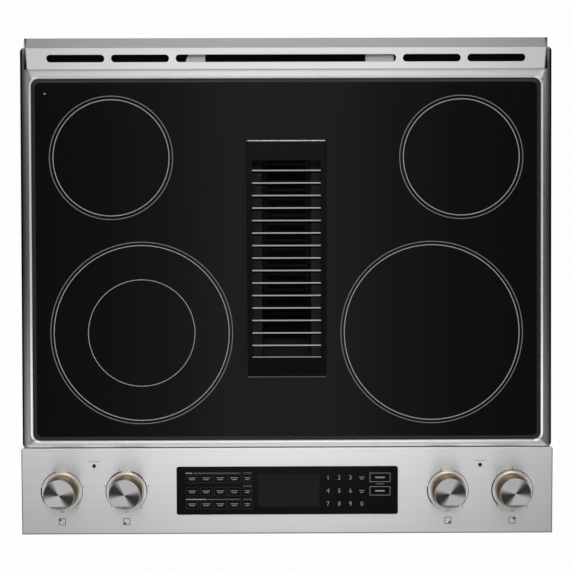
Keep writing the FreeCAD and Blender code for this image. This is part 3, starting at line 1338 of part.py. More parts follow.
def convection_cover():
    """Pressed cover over the fan, with an intake grille in front and outlets in its sides."""
    half = FAN_COVER_SIZE / 2
    front = OVEN_BACK - FAN_COVER_DEPTH
    sheet = COVER_SHEET
    shell = slab("y", front, OVEN_BACK, -half, half, FAN_Z - half, FAN_Z + half, FAN_COVER_ROUND)
    room = slab("y", front + sheet, OVEN_BACK + OVERCUT, sheet - half, half - sheet,
                FAN_Z - half + sheet, FAN_Z + half - sheet, FAN_COVER_ROUND - sheet)
    cuts = [room]
    rows = int(FAN_INTAKE_RADIUS / FAN_INTAKE_PITCH)
    for row in range(-rows, rows + 1):
        z = FAN_Z + row * FAN_INTAKE_PITCH
        reach = math.sqrt(FAN_INTAKE_RADIUS ** 2 - (row * FAN_INTAKE_PITCH) ** 2)
        cuts.append(round_slot("y", front - OVERCUT, front + sheet + OVERCUT, -reach, reach,
                               z - FAN_INTAKE_SLOT / 2, z + FAN_INTAKE_SLOT / 2))
    middle = (front + OVEN_BACK) / 2
    pitch = (FAN_COVER_SIZE - 2 * FAN_COVER_ROUND) / FAN_OUTLET_COUNT
    for index in range(FAN_OUTLET_COUNT):
        z = FAN_Z + (index - (FAN_OUTLET_COUNT - 1) / 2) * pitch
        cuts.append(box(-half - OVERCUT, half + OVERCUT,
                        middle - FAN_OUTLET_HEIGHT / 2, middle + FAN_OUTLET_HEIGHT / 2,
                        z - FAN_OUTLET_LENGTH / 2, z + FAN_OUTLET_LENGTH / 2))
    return cut_all(shell, cuts)


def oven_lamp():
    """Glass dome in a ring on the back wall, with its socket through the insulation."""
    wall = lamp_centre(OVEN_BACK)
    ring = rod(LAMP_RADIUS + LAMP_RING, wall, wall - Y_AXIS * LAMP_RING_THICKNESS)
    dome = Part.makeSphere(LAMP_RADIUS, wall)
    keep = box(LAMP_X - LAMP_RADIUS, LAMP_X + LAMP_RADIUS, OVEN_BACK - LAMP_DOME, OVEN_BACK,
               wall.z - LAMP_RADIUS, wall.z + LAMP_RADIUS)
    socket = rod(LAMP_SOCKET, wall, lamp_centre(INSULATION_BACK))
    return fuse_all([ring, dome.common(keep), socket])


def door_gasket():
    """Woven seal round the oven mouth, on the front frame."""
    near = GASKET_MARGIN
    far = GASKET_MARGIN + GASKET_WIDTH
    seal = oven_block(far, BODY_FRONT - GASKET_THICKNESS, BODY_FRONT)
    return seal.cut(oven_block(near, BODY_FRONT - GASKET_THICKNESS - OVERCUT, BODY_FRONT + OVERCUT))


# Oven door

def window_block(low, high, grow):
    """Slab the size of the door window, grown all round."""
    return slab("y", low, high, -WINDOW_HALF - grow, WINDOW_HALF + grow,
                WINDOW_BOTTOM - grow, WINDOW_TOP + grow, WINDOW_CORNER)


def hinge_notches():
    """Room in the door's bottom and inner face for the hinge arms to swing through."""
    half = HINGE_ARM_WIDTH / 2 + HINGE_SIDE_GAP
    notch = box(HINGE_X - half, HINGE_X + half, HINGE_Y - HINGE_EYE_RADIUS - HINGE_SLOT_MARGIN,
                DOOR_REAR + OVERCUT, DOOR_BOTTOM - OVERCUT,
                HINGE_Z + HINGE_ARM_HEIGHT / 2 + HINGE_SLOT_MARGIN)
    return [notch, mirrored(notch)]


def door_skin():
    """Stainless front panel with returns all round and a window opening."""
    shell = box(-DOOR_HALF, DOOR_HALF, DOOR_FACE, DOOR_FACE + SKIN_RETURN, DOOR_BOTTOM, DOOR_TOP)
    room = box(SHEET - DOOR_HALF, DOOR_HALF - SHEET, DOOR_FACE + SHEET, DOOR_FACE + SKIN_RETURN + OVERCUT,
               DOOR_BOTTOM + SHEET, DOOR_TOP - SHEET)
    window = window_block(DOOR_FACE - OVERCUT, DOOR_FACE + SHEET + OVERCUT, 0)
    return cut_all(shell, [room, window] + hinge_notches())


def door_outer_glass():
    return window_block(DOOR_FACE + SHEET, DOOR_FACE + SHEET + GLASS, WINDOW_LAP)


def door_liner():
    """Enamelled inner pan of the door, nested in the skin's returns."""
    gap = SHEET + CLEAR
    half = DOOR_HALF - gap
    front = DOOR_REAR - LINER_WALL_DEPTH
    shell = box(-half, half, front, DOOR_REAR, DOOR_BOTTOM + gap, DOOR_TOP - gap)
    room = box(SHEET - half, half - SHEET, front - OVERCUT, DOOR_REAR - SHEET,
               DOOR_BOTTOM + gap + SHEET, DOOR_TOP - gap - SHEET)
    window = window_block(DOOR_REAR - SHEET - OVERCUT, DOOR_REAR + OVERCUT, 0)
    return cut_all(shell, [room, window] + hinge_notches())


def door_inner_glass():
    return window_block(DOOR_REAR - SHEET - GLASS, DOOR_REAR - SHEET, WINDOW_LAP)


def handle_bar(radius):
    """Round bar along the handle's axis."""
    return rod(radius, Vector(-HANDLE_HALF, HANDLE_Y, HANDLE_Z), Vector(HANDLE_HALF, HANDLE_Y, HANDLE_Z))


def door_handle():
    bar = handle_bar(HANDLE_RADIUS)
    ends = [edge for edge in bar.Edges if edge.BoundBox.XLength < SAME_PLACE]
    return bar.makeChamfer(HANDLE_CHAMFER, ends)


def handle_posts():
    """Turned posts between the door skin and the handle bar."""
    foot = Vector(HANDLE_POST_X, DOOR_FACE, HANDLE_Z)
    post = rod(HANDLE_POST_RADIUS, foot, Vector(HANDLE_POST_X, HANDLE_Y, HANDLE_Z))
    flange = rod(HANDLE_POST_FLANGE, foot, foot - Y_AXIS * HANDLE_POST_FLANGE_THICKNESS)
    return both_sides(post.fuse(flange).cut(handle_bar(HANDLE_RADIUS + RUNNING_FIT)))


def door_hinges():
    """Channels inside the door, each with the pin that it turns on."""
    inner = HINGE_ARM_WIDTH / 2 + HINGE_SIDE_GAP
    outer = inner + HINGE_CHANNEL_WALL
    low = DOOR_BOTTOM + 2 * (SHEET + CLEAR)
    front = HINGE_Y - HINGE_EYE_RADIUS - HINGE_SLOT_MARGIN
    rear = DOOR_REAR - SHEET
    channel = box(HINGE_X - outer, HINGE_X + outer, front - HINGE_CHANNEL_WALL, rear,
                  low, HINGE_Z + HINGE_CHANNEL_HEIGHT)
    room = box(HINGE_X - inner, HINGE_X + inner, front, rear + OVERCUT,
               low - OVERCUT, HINGE_Z + HINGE_CHANNEL_HEIGHT + OVERCUT)
    pin = rod(HINGE_PIN_RADIUS, Vector(HINGE_X - outer, HINGE_Y, HINGE_Z),
              Vector(HINGE_X + outer, HINGE_Y, HINGE_Z))
    return both_sides(fuse_all([channel.cut(room), pin]))


def hinge_receivers():
    """Pockets behind the front frame, each holding the arm that the door turns on."""
    inner = HINGE_ARM_WIDTH / 2 + HINGE_SIDE_GAP
    outer = inner + HINGE_CHANNEL_WALL
    stop = BODY_FRONT + HINGE_ARM_REACH
    top = FRONT_FRAME_BOTTOM + RECEIVER_HEIGHT
    pocket = box(HINGE_X - outer, HINGE_X + outer, INSIDE_FRONT, stop + HINGE_CHANNEL_WALL,
                 FRONT_FRAME_BOTTOM, top)
    room = box(HINGE_X - inner, HINGE_X + inner, INSIDE_FRONT - OVERCUT, stop,
               FRONT_FRAME_BOTTOM - OVERCUT, top + OVERCUT)
    half = HINGE_ARM_WIDTH / 2
    axis_start = Vector(HINGE_X - half, HINGE_Y, HINGE_Z)
    axis_end = Vector(HINGE_X + half, HINGE_Y, HINGE_Z)
    eye = rod(HINGE_EYE_RADIUS, axis_start, axis_end)
    bar = box(HINGE_X - half, HINGE_X + half, HINGE_Y, stop,
              HINGE_Z - HINGE_ARM_HEIGHT / 2, HINGE_Z + HINGE_ARM_HEIGHT / 2)
    bore = rod(HINGE_PIN_RADIUS + RUNNING_FIT, axis_start - X_AXIS * OVERCUT, axis_end + X_AXIS * OVERCUT)
    arm = eye.fuse(bar).cut(bore)
    parts = [pocket.cut(room), arm]
    return Part.makeCompound(parts + [mirrored(part) for part in parts])


# The whole range

os.makedirs("parts", exist_ok=True)

save("side_panel_right", side_panel())
save("side_panel_left", mirrored(side_panel()))
save("back_panel", back_panel())
save("base_pan", base_pan())
save("front_frame", front_frame())
save("toe_panel", toe_panel())
save("terminal_cover", terminal_cover())
for corner, (leg_x, leg_y) in leg_places().items():
    save("leg_" + corner, leg(leg_x, leg_y))

save("cooktop_frame", cooktop_frame())
save("cooktop_glass", cooktop_glass())
save("burner_tray", burner_tray())
save("burner_dishes", burner_dishes())
save("burner_ribbons", burner_ribbons())

save("vent_grille", vent_grille())
save("vent_plenum", vent_plenum())
save("grease_filter", grease_filter())
save("rear_duct", rear_duct())
save("duct_elbow", duct_elbow())
save("blower_housing", blower_housing())
save("blower_motor", blower_motor())
save("blower_wheel", blower_wheel())
save("exhaust_collar", exhaust_collar())
save("rear_vent_trim", rear_vent_trim())
save("vent_trim_tabs", vent_trim_tabs())

save("control_console", control_console())
save("touch_panel", touch_plate(TOUCH_RISE - TOUCH_THICKNESS, TOUCH_RISE, 0))
save("control_board", control_board())
save("indicator_lenses", Part.makeCompound(lens_pins(LENS_RADIUS, LENS_RISE - LENS_DEPTH, LENS_RISE)))
save("knob_bezels", knob_bezels())
save("heat_switches", heat_switches())
for burner, dial_x in DIAL_XS.items():
    save("knob_" + burner, knob(dial_x))
    save("switch_rotor_" + burner, switch_rotor(dial_x))

save("oven_cavity", oven_cavity())
save("oven_insulation", oven_insulation())
save("oven_racks", Part.makeCompound([oven_rack(rib) for rib in (LOWER_RACK_RIB, UPPER_RACK_RIB)]))
save("broil_element", broil_element())
save("bake_element", bake_element())
save("convection_element", convection_element())
save("convection_fan", convection_fan())
save("convection_motor", convection_motor())
save("convection_cover", convection_cover())
save("oven_lamp", oven_lamp())
save("door_gasket", door_gasket())

save("door_skin", door_skin())
save("door_outer_glass", door_outer_glass())
save("door_liner", door_liner())
save("door_inner_glass", door_inner_glass())
save("door_handle", door_handle())
save("handle_posts", handle_posts())
save("door_hinges", door_hinges())
save("hinge_receivers", hinge_receivers())
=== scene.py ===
"""Dressing for a slide-in downdraft range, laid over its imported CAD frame."""

import math

import bmesh
import bpy
from mathutils import Matrix, Vector


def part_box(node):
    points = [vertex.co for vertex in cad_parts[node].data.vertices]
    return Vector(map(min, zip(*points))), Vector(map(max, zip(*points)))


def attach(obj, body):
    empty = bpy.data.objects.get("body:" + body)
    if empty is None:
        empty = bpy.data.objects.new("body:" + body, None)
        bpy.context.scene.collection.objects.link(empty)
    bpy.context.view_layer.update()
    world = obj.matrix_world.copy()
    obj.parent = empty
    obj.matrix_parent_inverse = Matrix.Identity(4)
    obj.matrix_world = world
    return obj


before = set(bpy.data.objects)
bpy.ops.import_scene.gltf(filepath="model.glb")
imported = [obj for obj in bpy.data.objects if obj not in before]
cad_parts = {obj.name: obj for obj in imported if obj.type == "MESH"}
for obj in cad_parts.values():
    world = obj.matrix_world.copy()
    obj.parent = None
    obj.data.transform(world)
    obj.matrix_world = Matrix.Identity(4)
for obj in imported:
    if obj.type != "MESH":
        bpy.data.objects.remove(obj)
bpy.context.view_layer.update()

# Base pan, ducts and blower casing
# Folded and spot-welded zinc-coated steel sheet, left bare because it is out of sight.
# The coating shows as a spangle of soft grey crystals.


def as_colour(value):
    """Colour with its alpha, from three parts or from one number for a grey."""
    if isinstance(value, float):
        return (value, value, value, 1.0)
    return (*value, 1.0)


def feed(tree, socket, value):
    """Links an output to a socket, or sets the socket to a plain value."""
    if isinstance(value, bpy.types.NodeSocket):
        tree.links.new(value, socket)
    elif socket.type == "RGBA":
        socket.default_value = as_colour(value)
    else:
        socket.default_value = value


def add_node(tree, kind, values=None, **properties):
    """New node in a tree, with its properties and what goes into its inputs."""
    node = tree.nodes.new(kind)
    for key, value in properties.items():
        setattr(node, key, value)
    for key, value in (values or {}).items():
        feed(tree, node.inputs[key], value)
    return node


def object_place(tree):
    """Place on the object, in metres."""
    return add_node(tree, "ShaderNodeTexCoord").outputs["Object"]


def noise(tree, place, scale, detail, rough=0.5):
    """Cloudy value between 0 and 1."""
    values = {"Vector": place, "Scale": scale, "Detail": detail, "Roughness": rough}
    return add_node(tree, "ShaderNodeTexNoise", values).outputs["Fac"]


def cells(tree, place, scale, chance):
    """Outputs of a pattern of cells, laid out evenly or by chance."""
    values = {"Vector": place, "Scale": scale, "Randomness": chance}
    return add_node(tree, "ShaderNodeTexVoronoi", values).outputs


def remap(tree, value, low, high, to_low=0.0, to_high=1.0, **properties):
    """Value carried from one range to another."""
    values = {"Value": value, "From Min": low, "From Max": high, "To Min": to_low, "To Max": to_high}
    return add_node(tree, "ShaderNodeMapRange", values, **properties).outputs["Result"]


def mix_values(tree, share, first, second):
    """Value between two others."""
    return add_node(tree, "ShaderNodeMix", {0: share, 2: first, 3: second}, data_type="FLOAT").outputs[0]


def mix_colours(tree, share, first, second, **properties):
    """Colour between two others."""
    values = {0: share, 6: first, 7: second}
    return add_node(tree, "ShaderNodeMix", values, data_type="RGBA", **properties).outputs[2]


def raised(tree, height, strength, distance):
    """Normal of a surface in low relief."""
    values = {"Height": height, "Strength": strength, "Distance": distance}
    return add_node(tree, "ShaderNodeBump", values).outputs["Normal"]


def new_material(name):
    """Material and its node tree."""
    material = bpy.data.materials.new(name)
    material.use_nodes = True
    return material, material.node_tree


def shader_of(material):
    return material.node_tree.nodes["Principled BSDF"]


def feed_shader(material, values):
    """Links or sets inputs of a material's shader."""
    for key, value in values.items():
        feed(material.node_tree, shader_of(material).inputs[key], value)


def zinc_finish(name, dark, light, crystals):
    """Zinc coating: a random grey and shine for each crystal, with a soft cloud over them."""
    material, tree = new_material(name)
    place = object_place(tree)
    spangle = cells(tree, place, crystals, 1.0)
    crystal = add_node(tree, "ShaderNodeSeparateColor", {"Color": spangle["Color"]}).outputs[0]
    shade = mix_values(tree, 0.35, crystal, noise(tree, place, 6.0, 4.0))
    feed_shader(material, {
        "Base Color": mix_colours(tree, shade, dark, light),
        "Roughness": remap(tree, shade, 0.0, 1.0, 0.32, 0.55),
        "Metallic": 0.9,
        "Normal": raised(tree, spangle["Distance"], 0.08, 0.0004),
    })
    return material


def dress(material, *names):
    """Puts a finish on CAD nodes."""
    for name in names:
        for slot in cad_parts[name].material_slots:
            slot.material = material


zinc_sheet = zinc_finish("zinc_sheet", dark=0.36, light=0.56, crystals=75.0)
dress(zinc_sheet, "base_pan", "rear_duct", "duct_elbow", "blower_housing", "exhaust_collar",
      "burner_tray", "convection_cover")

# Blower motor and wheel
# Painted motor can with a steel shaft, carrying a pressed wheel of forward-curved blades.
# The wheel is riveted sheet, dulled by grease-laden air.


def calculate(tree, operation, *terms):
    """Result of one step of arithmetic."""
    return add_node(tree, "ShaderNodeMath", dict(enumerate(terms)), operation=operation).outputs["Value"]


def vector_step(tree, operation, *terms):
    """Result of one step of arithmetic on vectors."""
    node = add_node(tree, "ShaderNodeVectorMath", dict(enumerate(terms)), operation=operation)
    return node.outputs["Value" if operation in ("DOT_PRODUCT", "LENGTH") else "Vector"]


def node_group(name, kind, inputs, outputs):
    """Empty node group with named sockets, what it is given, and its end node."""
    group = bpy.data.node_groups.new(name, kind)
    for in_out, sockets in (("INPUT", inputs), ("OUTPUT", outputs)):
        for label, socket_kind in sockets.items():
            group.interface.new_socket(label, in_out=in_out, socket_type="NodeSocket" + socket_kind)
    return group, group.nodes.new("NodeGroupInput").outputs, group.nodes.new("NodeGroupOutput")


def surface_grain():
    """Fine grain, stretched as the surface was brushed or rolled, over broad faint clouds."""
    inputs = {"Dark": "Color", "Light": "Color", "Grain Per Metre": "Vector", "Clouds": "Float",
              "Rough": "Float", "Rough Spread": "Float"}
    outputs = {"Color": "Color", "Roughness": "Float", "Height": "Float"}
    group, given, end = node_group("surface_grain", "ShaderNodeTree", inputs, outputs)
    place = object_place(group)
    stretched = vector_step(group, "MULTIPLY", place, given["Grain Per Metre"])
    grain = noise(group, stretched, 1.0, 4.0, rough=0.6)
    blend = mix_values(group, given["Clouds"], grain, noise(group, place, 4.0, 3.0))
    centred = calculate(group, "SUBTRACT", blend, 0.5)
    rough = calculate(group, "MULTIPLY_ADD", centred, given["Rough Spread"], given["Rough"])
    feed(group, end.inputs["Color"], mix_colours(group, blend, given["Dark"], given["Light"]))
    feed(group, end.inputs["Roughness"], rough)
    feed(group, end.inputs["Height"], grain)
    return group


SURFACE_GRAIN = surface_grain()


def grain_surface(tree, dark, light, grain, clouds, rough, spread):
    """Outputs of a grained surface. Its grain is one number, or one for each axis."""
    per_metre = grain if isinstance(grain, tuple) else (grain, grain, grain)
    values = {"Dark": dark, "Light": light, "Grain Per Metre": per_metre, "Clouds": clouds, "Rough": rough,
              "Rough Spread": spread}
    return add_node(tree, "ShaderNodeGroup", values, node_tree=SURFACE_GRAIN).outputs


def grained(name, dark, light, grain, rough, spread, metallic=0.0, clouds=0.3, bump=0.05, depth=0.0002):
    """Material whose colour, roughness and relief follow a stretched grain."""
    material, tree = new_material(name)
    surface = grain_surface(tree, dark, light, grain, clouds, rough, spread)
    feed_shader(material, {
        "Base Color": surface["Color"],
        "Roughness": surface["Roughness"],
        "Metallic": metallic,
        "Normal": raised(tree, surface["Height"], bump, depth),
    })
    return material


dress(grained("motor_paint", 0.028, 0.05, 500.0, 0.45, 0.2), "blower_motor", "convection_motor")
dress(grained("wheel_sheet", 0.3, 0.5, (120.0, 120.0, 30.0), 0.42, 0.2, metallic=1.0),
      "blower_wheel", "convection_fan")

# Levelling legs
# Feet with threaded stems, screwed up into the base pan.
# Dark nylon with a faint moulded texture.
CORNERS = ("front_left", "front_right", "rear_left", "rear_right")
dress(grained("leg_nylon", 0.02, 0.045, 350.0, 0.5, 0.2, bump=0.15),
      *["leg_" + corner for corner in CORNERS])

# Side panels
# Flat steel panels, folded at their edges and stove-painted black.
# Hex-head sheet screws hold their lower edges to the base pan.
SCREW_HEAD_RADIUS = 0.0048
SCREW_HEAD_HEIGHT = 0.0022
SIDEWAYS = (0.0, math.pi / 2, 0.0)
SIDE_SCREW_HEIGHT = 0.052
SIDE_SCREW_DEPTHS = (-0.24, -0.07, 0.12, 0.31)


def new_object(name, data):
    """Object for some data, linked into the scene."""
    thing = bpy.data.objects.new(name, data)
    bpy.context.scene.collection.objects.link(thing)
    return thing


def plain_mesh(maker):
    """Mesh that an object comes out as, kept in the object's place."""
    shown = maker.evaluated_get(bpy.context.evaluated_depsgraph_get())
    mesh = bpy.data.meshes.new_from_object(shown)
    bpy.data.objects.remove(maker)
    return mesh


def make_piece(name, data, body, material=None):
    """Named object for a mesh, riding on a CAD body."""
    if material is not None:
        data.materials.append(material)
    piece = new_object(name, data)
    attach(piece, body)
    return piece


def grow_piece(name, tree, base, values, body):
    """Runs a geometry tree on a base mesh and keeps the result as a plain mesh."""
    maker = new_object(name + "_maker", base)
    modifier = maker.modifiers.new("grow", "NODES")
    modifier.node_group = tree
    for socket in tree.interface.items_tree:
        if socket.name in values:
            modifier[socket.identifier] = values[socket.name]
    return make_piece(name, plain_mesh(maker), body)


def made_real(tree, instances, finish, end):
    """Ends a geometry tree with its instances made real and given their finish."""
    real = add_node(tree, "GeometryNodeRealizeInstances", {"Geometry": instances})
    values = {"Geometry": real.outputs["Geometry"], "Material": finish}
    painted = add_node(tree, "GeometryNodeSetMaterial", values)
    feed(tree, end.inputs["Geometry"], painted.outputs["Geometry"])
    return tree


def combine(tree, **parts):
    """Vector from its parts."""
    return add_node(tree, "ShaderNodeCombineXYZ", parts).outputs["Vector"]


def hex_screws():
    """Hex washer-head screw on each point of the base mesh, each turned by chance."""
    flange_share = 0.3
    hexagon_share = 0.66
    inputs = {"Points": "Geometry", "Head Radius": "Float", "Head Height": "Float", "Facing": "Vector",
              "Finish": "Material"}
    tree, given, end = node_group("hex_screws", "GeometryNodeTree", inputs, {"Geometry": "Geometry"})
    head = add_node(tree, "GeometryNodeJoinGeometry")
    radius = given["Head Radius"]
    height = given["Head Height"]
    flange = calculate(tree, "MULTIPLY", height, flange_share)
    across = calculate(tree, "MULTIPLY", radius, hexagon_share)
    for values in ({"Vertices": 20, "Radius": radius, "Depth": flange},
                   {"Vertices": 6, "Radius": across, "Depth": height}):
        disc = add_node(tree, "GeometryNodeMeshCylinder", values)
        feed(tree, head.inputs["Geometry"], disc.outputs["Mesh"])
    values = {"Points": given["Points"], "Instance": head.outputs["Geometry"], "Rotation": given["Facing"]}
    spread = add_node(tree, "GeometryNodeInstanceOnPoints", values)
    chance = add_node(tree, "FunctionNodeRandomValue", {3: math.pi, "Seed": 7}, data_type="FLOAT")
    values = {"Instances": spread.outputs["Instances"], "Rotation": combine(tree, Z=chance.outputs[1])}
    spin = add_node(tree, "GeometryNodeRotateInstances", values)
    return made_real(tree, spin.outputs["Instances"], given["Finish"], end)


HEX_SCREWS = hex_screws()
screw_plating = grained("screw_plating", 0.42, 0.62, 300.0, 0.34, 0.2, metallic=1.0)


def screw_heads(name, places, facing):
    """Screw heads on the chassis at the given places, all facing one way."""
    points = bpy.data.meshes.new(name + "_points")
    points.from_pydata(places, [], [])
    sizes = {"Head Radius": SCREW_HEAD_RADIUS, "Head Height": SCREW_HEAD_HEIGHT, "Facing": facing,
             "Finish": screw_plating}
    return grow_piece(name, HEX_SCREWS, points, sizes, "chassis")


dress(grained("side_paint", 0.012, 0.022, 260.0, 0.36, 0.16, bump=0.12, depth=0.0003),
      "side_panel_left", "side_panel_right")
side_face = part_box("side_panel_right")[1].x
side_screws = [(side * side_face, y, SIDE_SCREW_HEIGHT) for side in (-1, 1) for y in SIDE_SCREW_DEPTHS]
screw_heads("side_screws", side_screws, SIDEWAYS)

# Back panel and terminal cover
# Zinc-coated sheet with louvre slots at its head; a folded box covers the power terminals.
# Both are held by hex-head sheet screws along their edges.
BACKWARDS = (math.pi / 2, 0.0, 0.0)
BACK_SCREW_SIDE = 0.355
BACK_SCREW_HEIGHTS = (0.07, 0.27, 0.47, 0.67, 0.86)
FOOT_SCREWS = (0.06, (-0.2, 0.0, 0.24))
HEAD_SCREWS = (0.862, (-0.18, 0.0, 0.18))
COVER_SCREW_SIDE = -0.24
COVER_SCREW_HEIGHTS = (0.147, 0.233)
dress(zinc_sheet, "back_panel", "terminal_cover")
back_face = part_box("back_panel")[1].y
cover_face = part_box("terminal_cover")[1].y
back_screws = [(side * BACK_SCREW_SIDE, back_face, z) for side in (-1, 1) for z in BACK_SCREW_HEIGHTS]
back_screws += [(x, back_face, z) for z, row in (FOOT_SCREWS, HEAD_SCREWS) for x in row]
screw_heads("back_screws", back_screws, BACKWARDS)
screw_heads("cover_screws", [(COVER_SCREW_SIDE, cover_face, z) for z in COVER_SCREW_HEIGHTS], BACKWARDS)

# Oven cavity and its blanket
# Pressed steel box with rack ribs, vitreous enamel fired on: dark grey with pale specks.
# A mineral-wool blanket is wrapped round it.


def speckled_enamel(name, ground, speck):
    """Glossy enamel with specks of many sizes and a faint ripple."""
    material, tree = new_material(name)
    place = object_place(tree)
    speck_reach = remap(tree, noise(tree, place, 90.0, 2.0), 0.35, 0.7, 0.05, 0.3)
    inside = calculate(tree, "LESS_THAN", cells(tree, place, 260.0, 1.0)["Distance"], speck_reach)
    ripple = noise(tree, place, 45.0, 2.0)
    feed_shader(material, {
        "Base Color": mix_colours(tree, inside, ground, speck),
        "Roughness": remap(tree, ripple, 0.0, 1.0, 0.14, 0.34),
        "Normal": raised(tree, ripple, 0.1, 0.0006),
    })
    return material


dress(speckled_enamel("cavity_enamel", (0.018, 0.02, 0.027), (0.34, 0.35, 0.37)), "oven_cavity")
dress(grained("mineral_wool", (0.42, 0.36, 0.22), (0.66, 0.6, 0.42), (60.0, 180.0, 180.0), 0.95, 0.05,
              bump=0.6, depth=0.003),
      "oven_insulation")

# Oven fittings
# Chromium-plated wire racks, sheathed heating elements and a lamp under a glass cap.
# The elements are fixed through the back wall; the racks slide on the ribs.
lamp_glass = grained("lamp_glass", (0.78, 0.76, 0.68), (0.9, 0.88, 0.8), 40.0, 0.12, 0.08)
feed_shader(lamp_glass, {"Transmission Weight": 0.5})
dress(grained("plated_wire", 0.5, 0.68, 90.0, 0.16, 0.12, metallic=1.0), "oven_racks")
dress(grained("element_sheath", (0.06, 0.055, 0.055), (0.16, 0.14, 0.13), 140.0, 0.55, 0.25,
              metallic=0.6, bump=0.2),
      "broil_element", "bake_element", "convection_element")
dress(lamp_glass, "oven_lamp")

# Front frame, hinge receivers and toe panel
# Black-enamelled steel frame round the oven's mouth; the slotted toe panel below it lifts off.
# The receivers are plated steel, bolted behind the frame's slots.
dress(grained("frame_enamel", 0.012, 0.024, 120.0, 0.22, 0.14, bump=0.1, depth=0.0004),
      "front_frame", "toe_panel")
dress(grained("hinge_plating", 0.34, 0.52, (60.0, 200.0, 200.0), 0.38, 0.2, metallic=1.0),
      "hinge_receivers", "door_hinges")

# Door gasket
# Braided glass-fibre tube clipped round the mouth of the oven.
# Charcoal, with a coarse fibrous relief.
dress(grained("gasket_braid", 0.05, 0.16, 420.0, 0.85, 0.1, bump=0.7, depth=0.0012), "door_gasket")

# Oven door
# Brushed stainless skin over a pressed enamel liner, with a dark window through both.
# The bar handle stands on two turned posts, screwed from inside the skin.
LENGTHWAYS = (5.0, 950.0, 950.0)
BRUSHED_PULL = 0.85


def split(tree, vector):
    """The three parts of a vector."""
    return add_node(tree, "ShaderNodeSeparateXYZ", {"Vector": vector}).outputs


def surface_normal(tree):
    return add_node(tree, "ShaderNodeNewGeometry").outputs["Normal"]


def steel_grey(value):
    """Steel's faintly blue grey."""
    return (value * 0.985, value * 0.99, value)


def brushed_steel(name, dark, light, rough=0.36, grain=LENGTHWAYS):
    """Stainless steel with the fine lines of a belt grinder, which draw its shine out across them."""
    material = grained(name, steel_grey(dark), steel_grey(light), grain, rough, 0.08, metallic=1.0,
                       clouds=0.25, bump=0.03)
    tree = material.node_tree
    across = vector_step(tree, "CROSS_PRODUCT", surface_normal(tree), (1.0, 0.0, 0.0))
    feed_shader(material, {"Anisotropic": BRUSHED_PULL, "Tangent": across})
    return material


def window_finish(name, clear, frit, half_width, low, high):
    """Tinted glass with a black printed border that fades inwards in dots."""
    material, tree = new_material(name)
    place = object_place(tree)
    parts = split(tree, place)
    outside_x = calculate(tree, "SUBTRACT", calculate(tree, "ABSOLUTE", parts["X"]), half_width)
    height = calculate(tree, "SUBTRACT", parts["Z"], (low + high) / 2)
    outside_z = calculate(tree, "SUBTRACT", calculate(tree, "ABSOLUTE", height), (high - low) / 2)
    outside = calculate(tree, "MAXIMUM", outside_x, outside_z)
    dot_reach = remap(tree, outside, -0.012, 0.006, 0.0, 0.9)
    covered = calculate(tree, "LESS_THAN", cells(tree, place, 320.0, 0.0)["Distance"], dot_reach)
    feed_shader(material, {
        "Base Color": mix_colours(tree, covered, clear, frit),
        "Roughness": 0.04,
        "Transmission Weight": 0.75,
        "IOR": 1.5,
    })
    return material


dress(brushed_steel("door_steel", dark=0.46, light=0.58), "door_skin")
dress(brushed_steel("handle_steel", dark=0.5, light=0.62, rough=0.34), "door_handle", "handle_posts")
dress(window_finish("outer_window", (0.16, 0.165, 0.17), 0.004, half_width=0.205, low=0.45, high=0.67),
      "door_outer_glass")
dress(window_finish("inner_window", (0.6, 0.62, 0.62), 0.01, half_width=0.22, low=0.43, high=0.69),
      "door_inner_glass")
dress(speckled_enamel("liner_enamel", (0.02, 0.022, 0.028), (0.26, 0.27, 0.29)), "door_liner")

# Radiant burners under the glass
# Pressed dishes of insulating fibre, each with a corrugated heating ribbon laid in rings.
# They hang from the burner tray and press up against the glass.
dress(grained("dish_fibre", (0.5, 0.48, 0.44), (0.72, 0.7, 0.66), 150.0, 0.9, 0.08, bump=0.4,
              depth=0.001),
      "burner_dishes")
dress(grained("ribbon_alloy", (0.1, 0.09, 0.085), (0.24, 0.2, 0.18), (200.0, 200.0, 30.0), 0.5, 0.2,
              metallic=0.8),
      "burner_ribbons")

# Cooktop frame
# Stainless frame with a crowned rim, each side brushed along its length, and painted shade blackening its
# outer walls.
# The glass is bedded in its rebate and the console and rear trim butt against it.
CROSSWAYS = (950.0, 5.0, 950.0)
REAR_MITRE = 0.32
MITRE_BLEND = 0.004
INNER_EDGE_HIGHLIGHT = ((0.0, 0.0), (0.04, 0.0), (0.16, 1.0), (1.0, 1.0))


